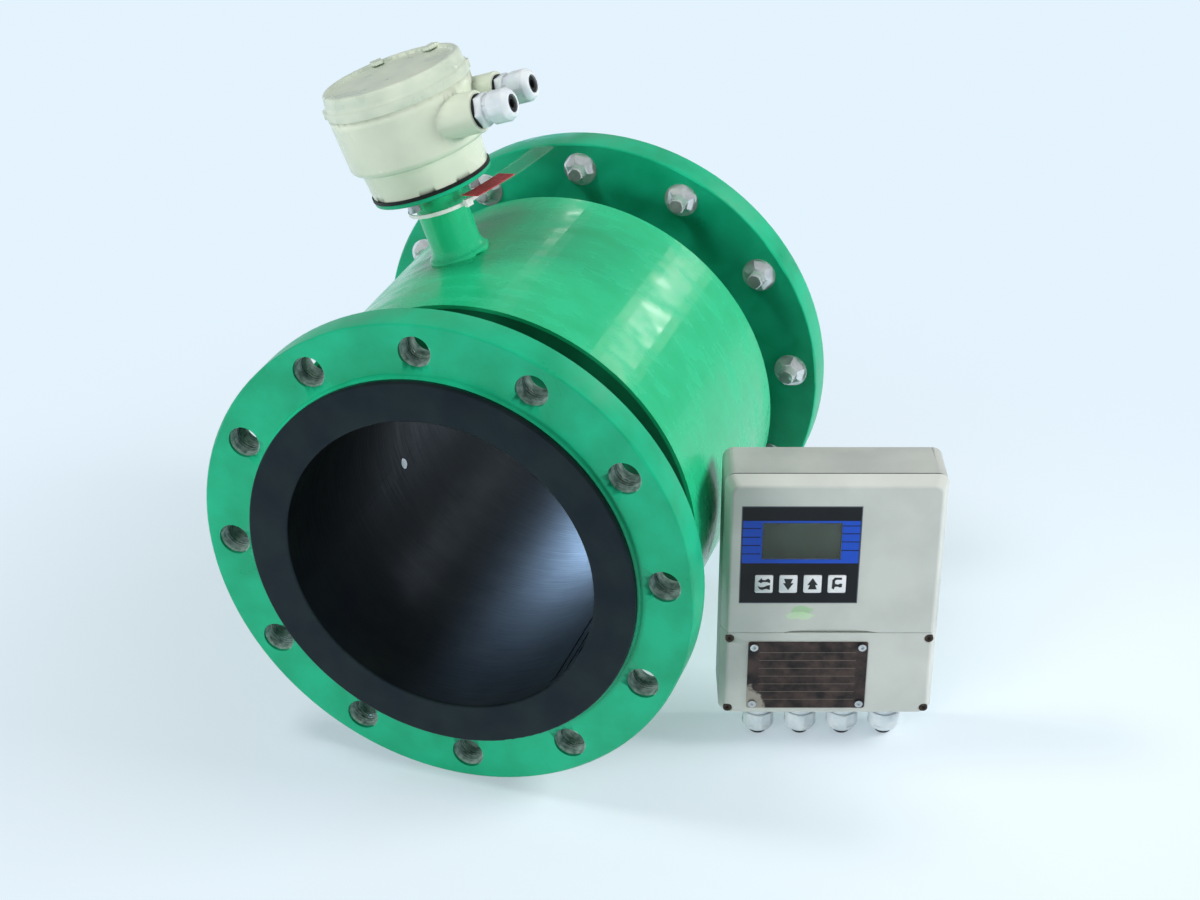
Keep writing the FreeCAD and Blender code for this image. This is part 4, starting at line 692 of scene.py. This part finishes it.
studio = {
    "backdrop": "#E4F3FE",
    "floor": "#EEF8FF",
    "ambient": "#F4F6F6",
    "ambientLevel": 0.2,
    "mirrorLevel": 0.32,
    # The floor glows in the backdrop's colour: by the near share up to glowFrom metres from glowMiddle,
    # where it takes the shadow, and fully from glowTo metres on.
    "nearGlow": 0.4,
    "glowMiddle": (0.1, -0.05),
    "glowFrom": 0.3,
    "glowTo": 0.85,
    "floorReach": 6,
    "floorRoughness": 0.9,
    "clipEnd": 50,
    "lens": 67.83,
    "cameraAt": (0.58609, -1.52526, 0.92987),
    "right": (0.94526, 0.32633, 0),
    "up": (-0.16241, 0.47047, 0.86734),
    # place, aim and the way of the long side in metres, both sides in metres, watts, spread in degrees, and
    # whether gloss shows the lamp
    "lamps": {
        "front": {
            "place": (-0.7, -2.2, 0.5), "aim": (0, -0.2, 0), "along": (1, 0, 0), "sides": (0.8, 0.8),
            "watts": 24, "colour": "#FFFFFF", "spread": 180, "inGloss": False,
        },
        "keyRight": {
            "place": (1.7, 0.3, 1.0), "aim": (0, 0, 0), "along": (0, 1, 0), "sides": (0.7, 0.7),
            "watts": 31, "colour": "#FFFFFF", "spread": 180, "inGloss": False,
        },
        "highLeft": {
            "place": (-0.8, -0.3, 1.6), "aim": (0, 0, 0.1), "along": (0, 1, 0), "sides": (0.4, 0.4),
            "watts": 12, "colour": "#FFFFFF", "spread": 180, "inGloss": False,
        },
        "rightStreak": {
            "place": (0.56, 1.1, 0.63), "aim": (0.1, 0, 0.14), "along": (0.84, 0, -0.54), "sides": (0.3, 0.05),
            "watts": 0.8, "colour": "#FFFFFF", "spread": 180, "inGloss": True,
        },
        "leftStreak": {
            "place": (-0.36, 1.22, 0.72), "aim": (0.01, 0.08, 0.17), "along": (1, 0, 0.2), "sides": (0.08, 0.06),
            "watts": 0.12, "colour": "#FFFFFF", "spread": 180, "inGloss": True,
        },
        "boreSheen": {
            "place": (-0.3, 0.72, 0.03), "aim": (0.05, 0, -0.08), "along": (0.6, 0, 0.6), "sides": (0.3, 0.16),
            "watts": 0.45, "colour": "#A8CAF0", "spread": 40, "inGloss": True,
        },
    },
}

# the camera, glass and gloss see the plain backdrop, and the object is lit by a neutral ambient
world = bpy.data.worlds.new("studio")
bpy.context.scene.world = world
world.use_nodes = True
tree = world.node_tree
path = addNode(tree, "ShaderNodeLightPath").outputs
seen = addNode(
    tree, "ShaderNodeMath", {0: path["Is Camera Ray"], 1: path["Is Transmission Ray"]}, operation="MAXIMUM"
)
mirror = addNode(
    tree, "ShaderNodeMath", {0: path["Is Glossy Ray"], 1: studio["mirrorLevel"]}, operation="MULTIPLY"
)
seen = addNode(tree, "ShaderNodeMath", {0: seen.outputs[0], 1: mirror.outputs[0]}, operation="MAXIMUM")
level = addNode(tree, "ShaderNodeMapRange", {0: seen.outputs[0], "To Min": studio["ambientLevel"], "To Max": 1})
colour = addNode(tree, "ShaderNodeMix", {
    0: seen.outputs[0], 6: toLinear(studio["ambient"]), 7: toLinear(studio["backdrop"]),
}, data_type="RGBA")
background = tree.nodes["Background"]
tree.links.new(colour.outputs[2], background.inputs[0])
tree.links.new(level.outputs[0], background.inputs[1])

# the floor takes the shadow near the object, and runs into the backdrop farther out
floorMesh = bpy.data.meshes.new("floor")
reach, ground = studio["floorReach"], cadBox[0].z
floorMesh.from_pydata(
    [(-reach, -reach, ground), (reach, -reach, ground), (reach, reach, ground), (-reach, reach, ground)], [],
    [(0, 1, 2, 3)],
)
floor = bpy.data.objects.new("floor", floorMesh)
bpy.context.scene.collection.objects.link(floor)
paper = bpy.data.materials.new("pressedPaperBackdrop")
paper.use_nodes = True
tree = paper.node_tree
shader = tree.nodes["Principled BSDF"]
shader.inputs["Base Color"].default_value = toLinear(studio["floor"])
shader.inputs["Roughness"].default_value = studio["floorRoughness"]
glow = addNode(tree, "ShaderNodeEmission", {"Color": toLinear(studio["backdrop"]), "Strength": 1})
path = addNode(tree, "ShaderNodeLightPath").outputs
seen = addNode(
    tree, "ShaderNodeMath", {0: path["Is Camera Ray"], 1: path["Is Glossy Ray"]}, operation="MAXIMUM"
)
place = addNode(tree, "ShaderNodeTexCoord").outputs["Object"]
middle = (*studio["glowMiddle"], ground)
far = addNode(tree, "ShaderNodeVectorMath", {0: place, 1: middle}, operation="DISTANCE")
share = addNode(tree, "ShaderNodeMapRange", {
    0: far.outputs["Value"], "From Min": studio["glowFrom"], "From Max": studio["glowTo"],
    "To Min": studio["nearGlow"], "To Max": 1,
}, interpolation_type="SMOOTHSTEP")
share = addNode(tree, "ShaderNodeMath", {0: seen.outputs[0], 1: share.outputs[0]}, operation="MULTIPLY")
mixed = addNode(tree, "ShaderNodeMixShader", {0: share.outputs[0], 1: shader.outputs[0], 2: glow.outputs[0]})
tree.links.new(mixed.outputs[0], tree.nodes["Material Output"].inputs[0])
floorMesh.materials.append(paper)

for name, given in studio["lamps"].items():
    lamp = bpy.data.lights.new(name, "AREA")
    lamp.shape = "RECTANGLE"
    lamp.size, lamp.size_y = given["sides"]
    lamp.energy = given["watts"]
    lamp.color = toLinear(given["colour"])[:3]
    lamp.spread = math.radians(given["spread"])
    holder = bpy.data.objects.new(name, lamp)
    place, along = Vector(given["place"]), Vector(given["along"])
    back = (place - Vector(given["aim"])).normalized()
    across = (along - back * back.dot(along)).normalized()
    turned = Matrix((across, back.cross(across), back)).transposed().to_4x4()
    holder.matrix_world = Matrix.Translation(place) @ turned
    holder.visible_glossy = given["inGloss"]
    bpy.context.scene.collection.objects.link(holder)

right, up = Vector(studio["right"]), Vector(studio["up"])
lens = bpy.data.cameras.new("camera")
lens.lens = studio["lens"]
lens.clip_end = studio["clipEnd"]
camera = bpy.data.objects.new("camera", lens)
turned = Matrix((right, up, right.cross(up))).transposed().to_4x4()
camera.matrix_world = Matrix.Translation(studio["cameraAt"]) @ turned
bpy.context.scene.collection.objects.link(camera)
bpy.context.scene.camera = camera
bpy.context.scene.view_settings.view_transform = "Standard"
print("studio lit")
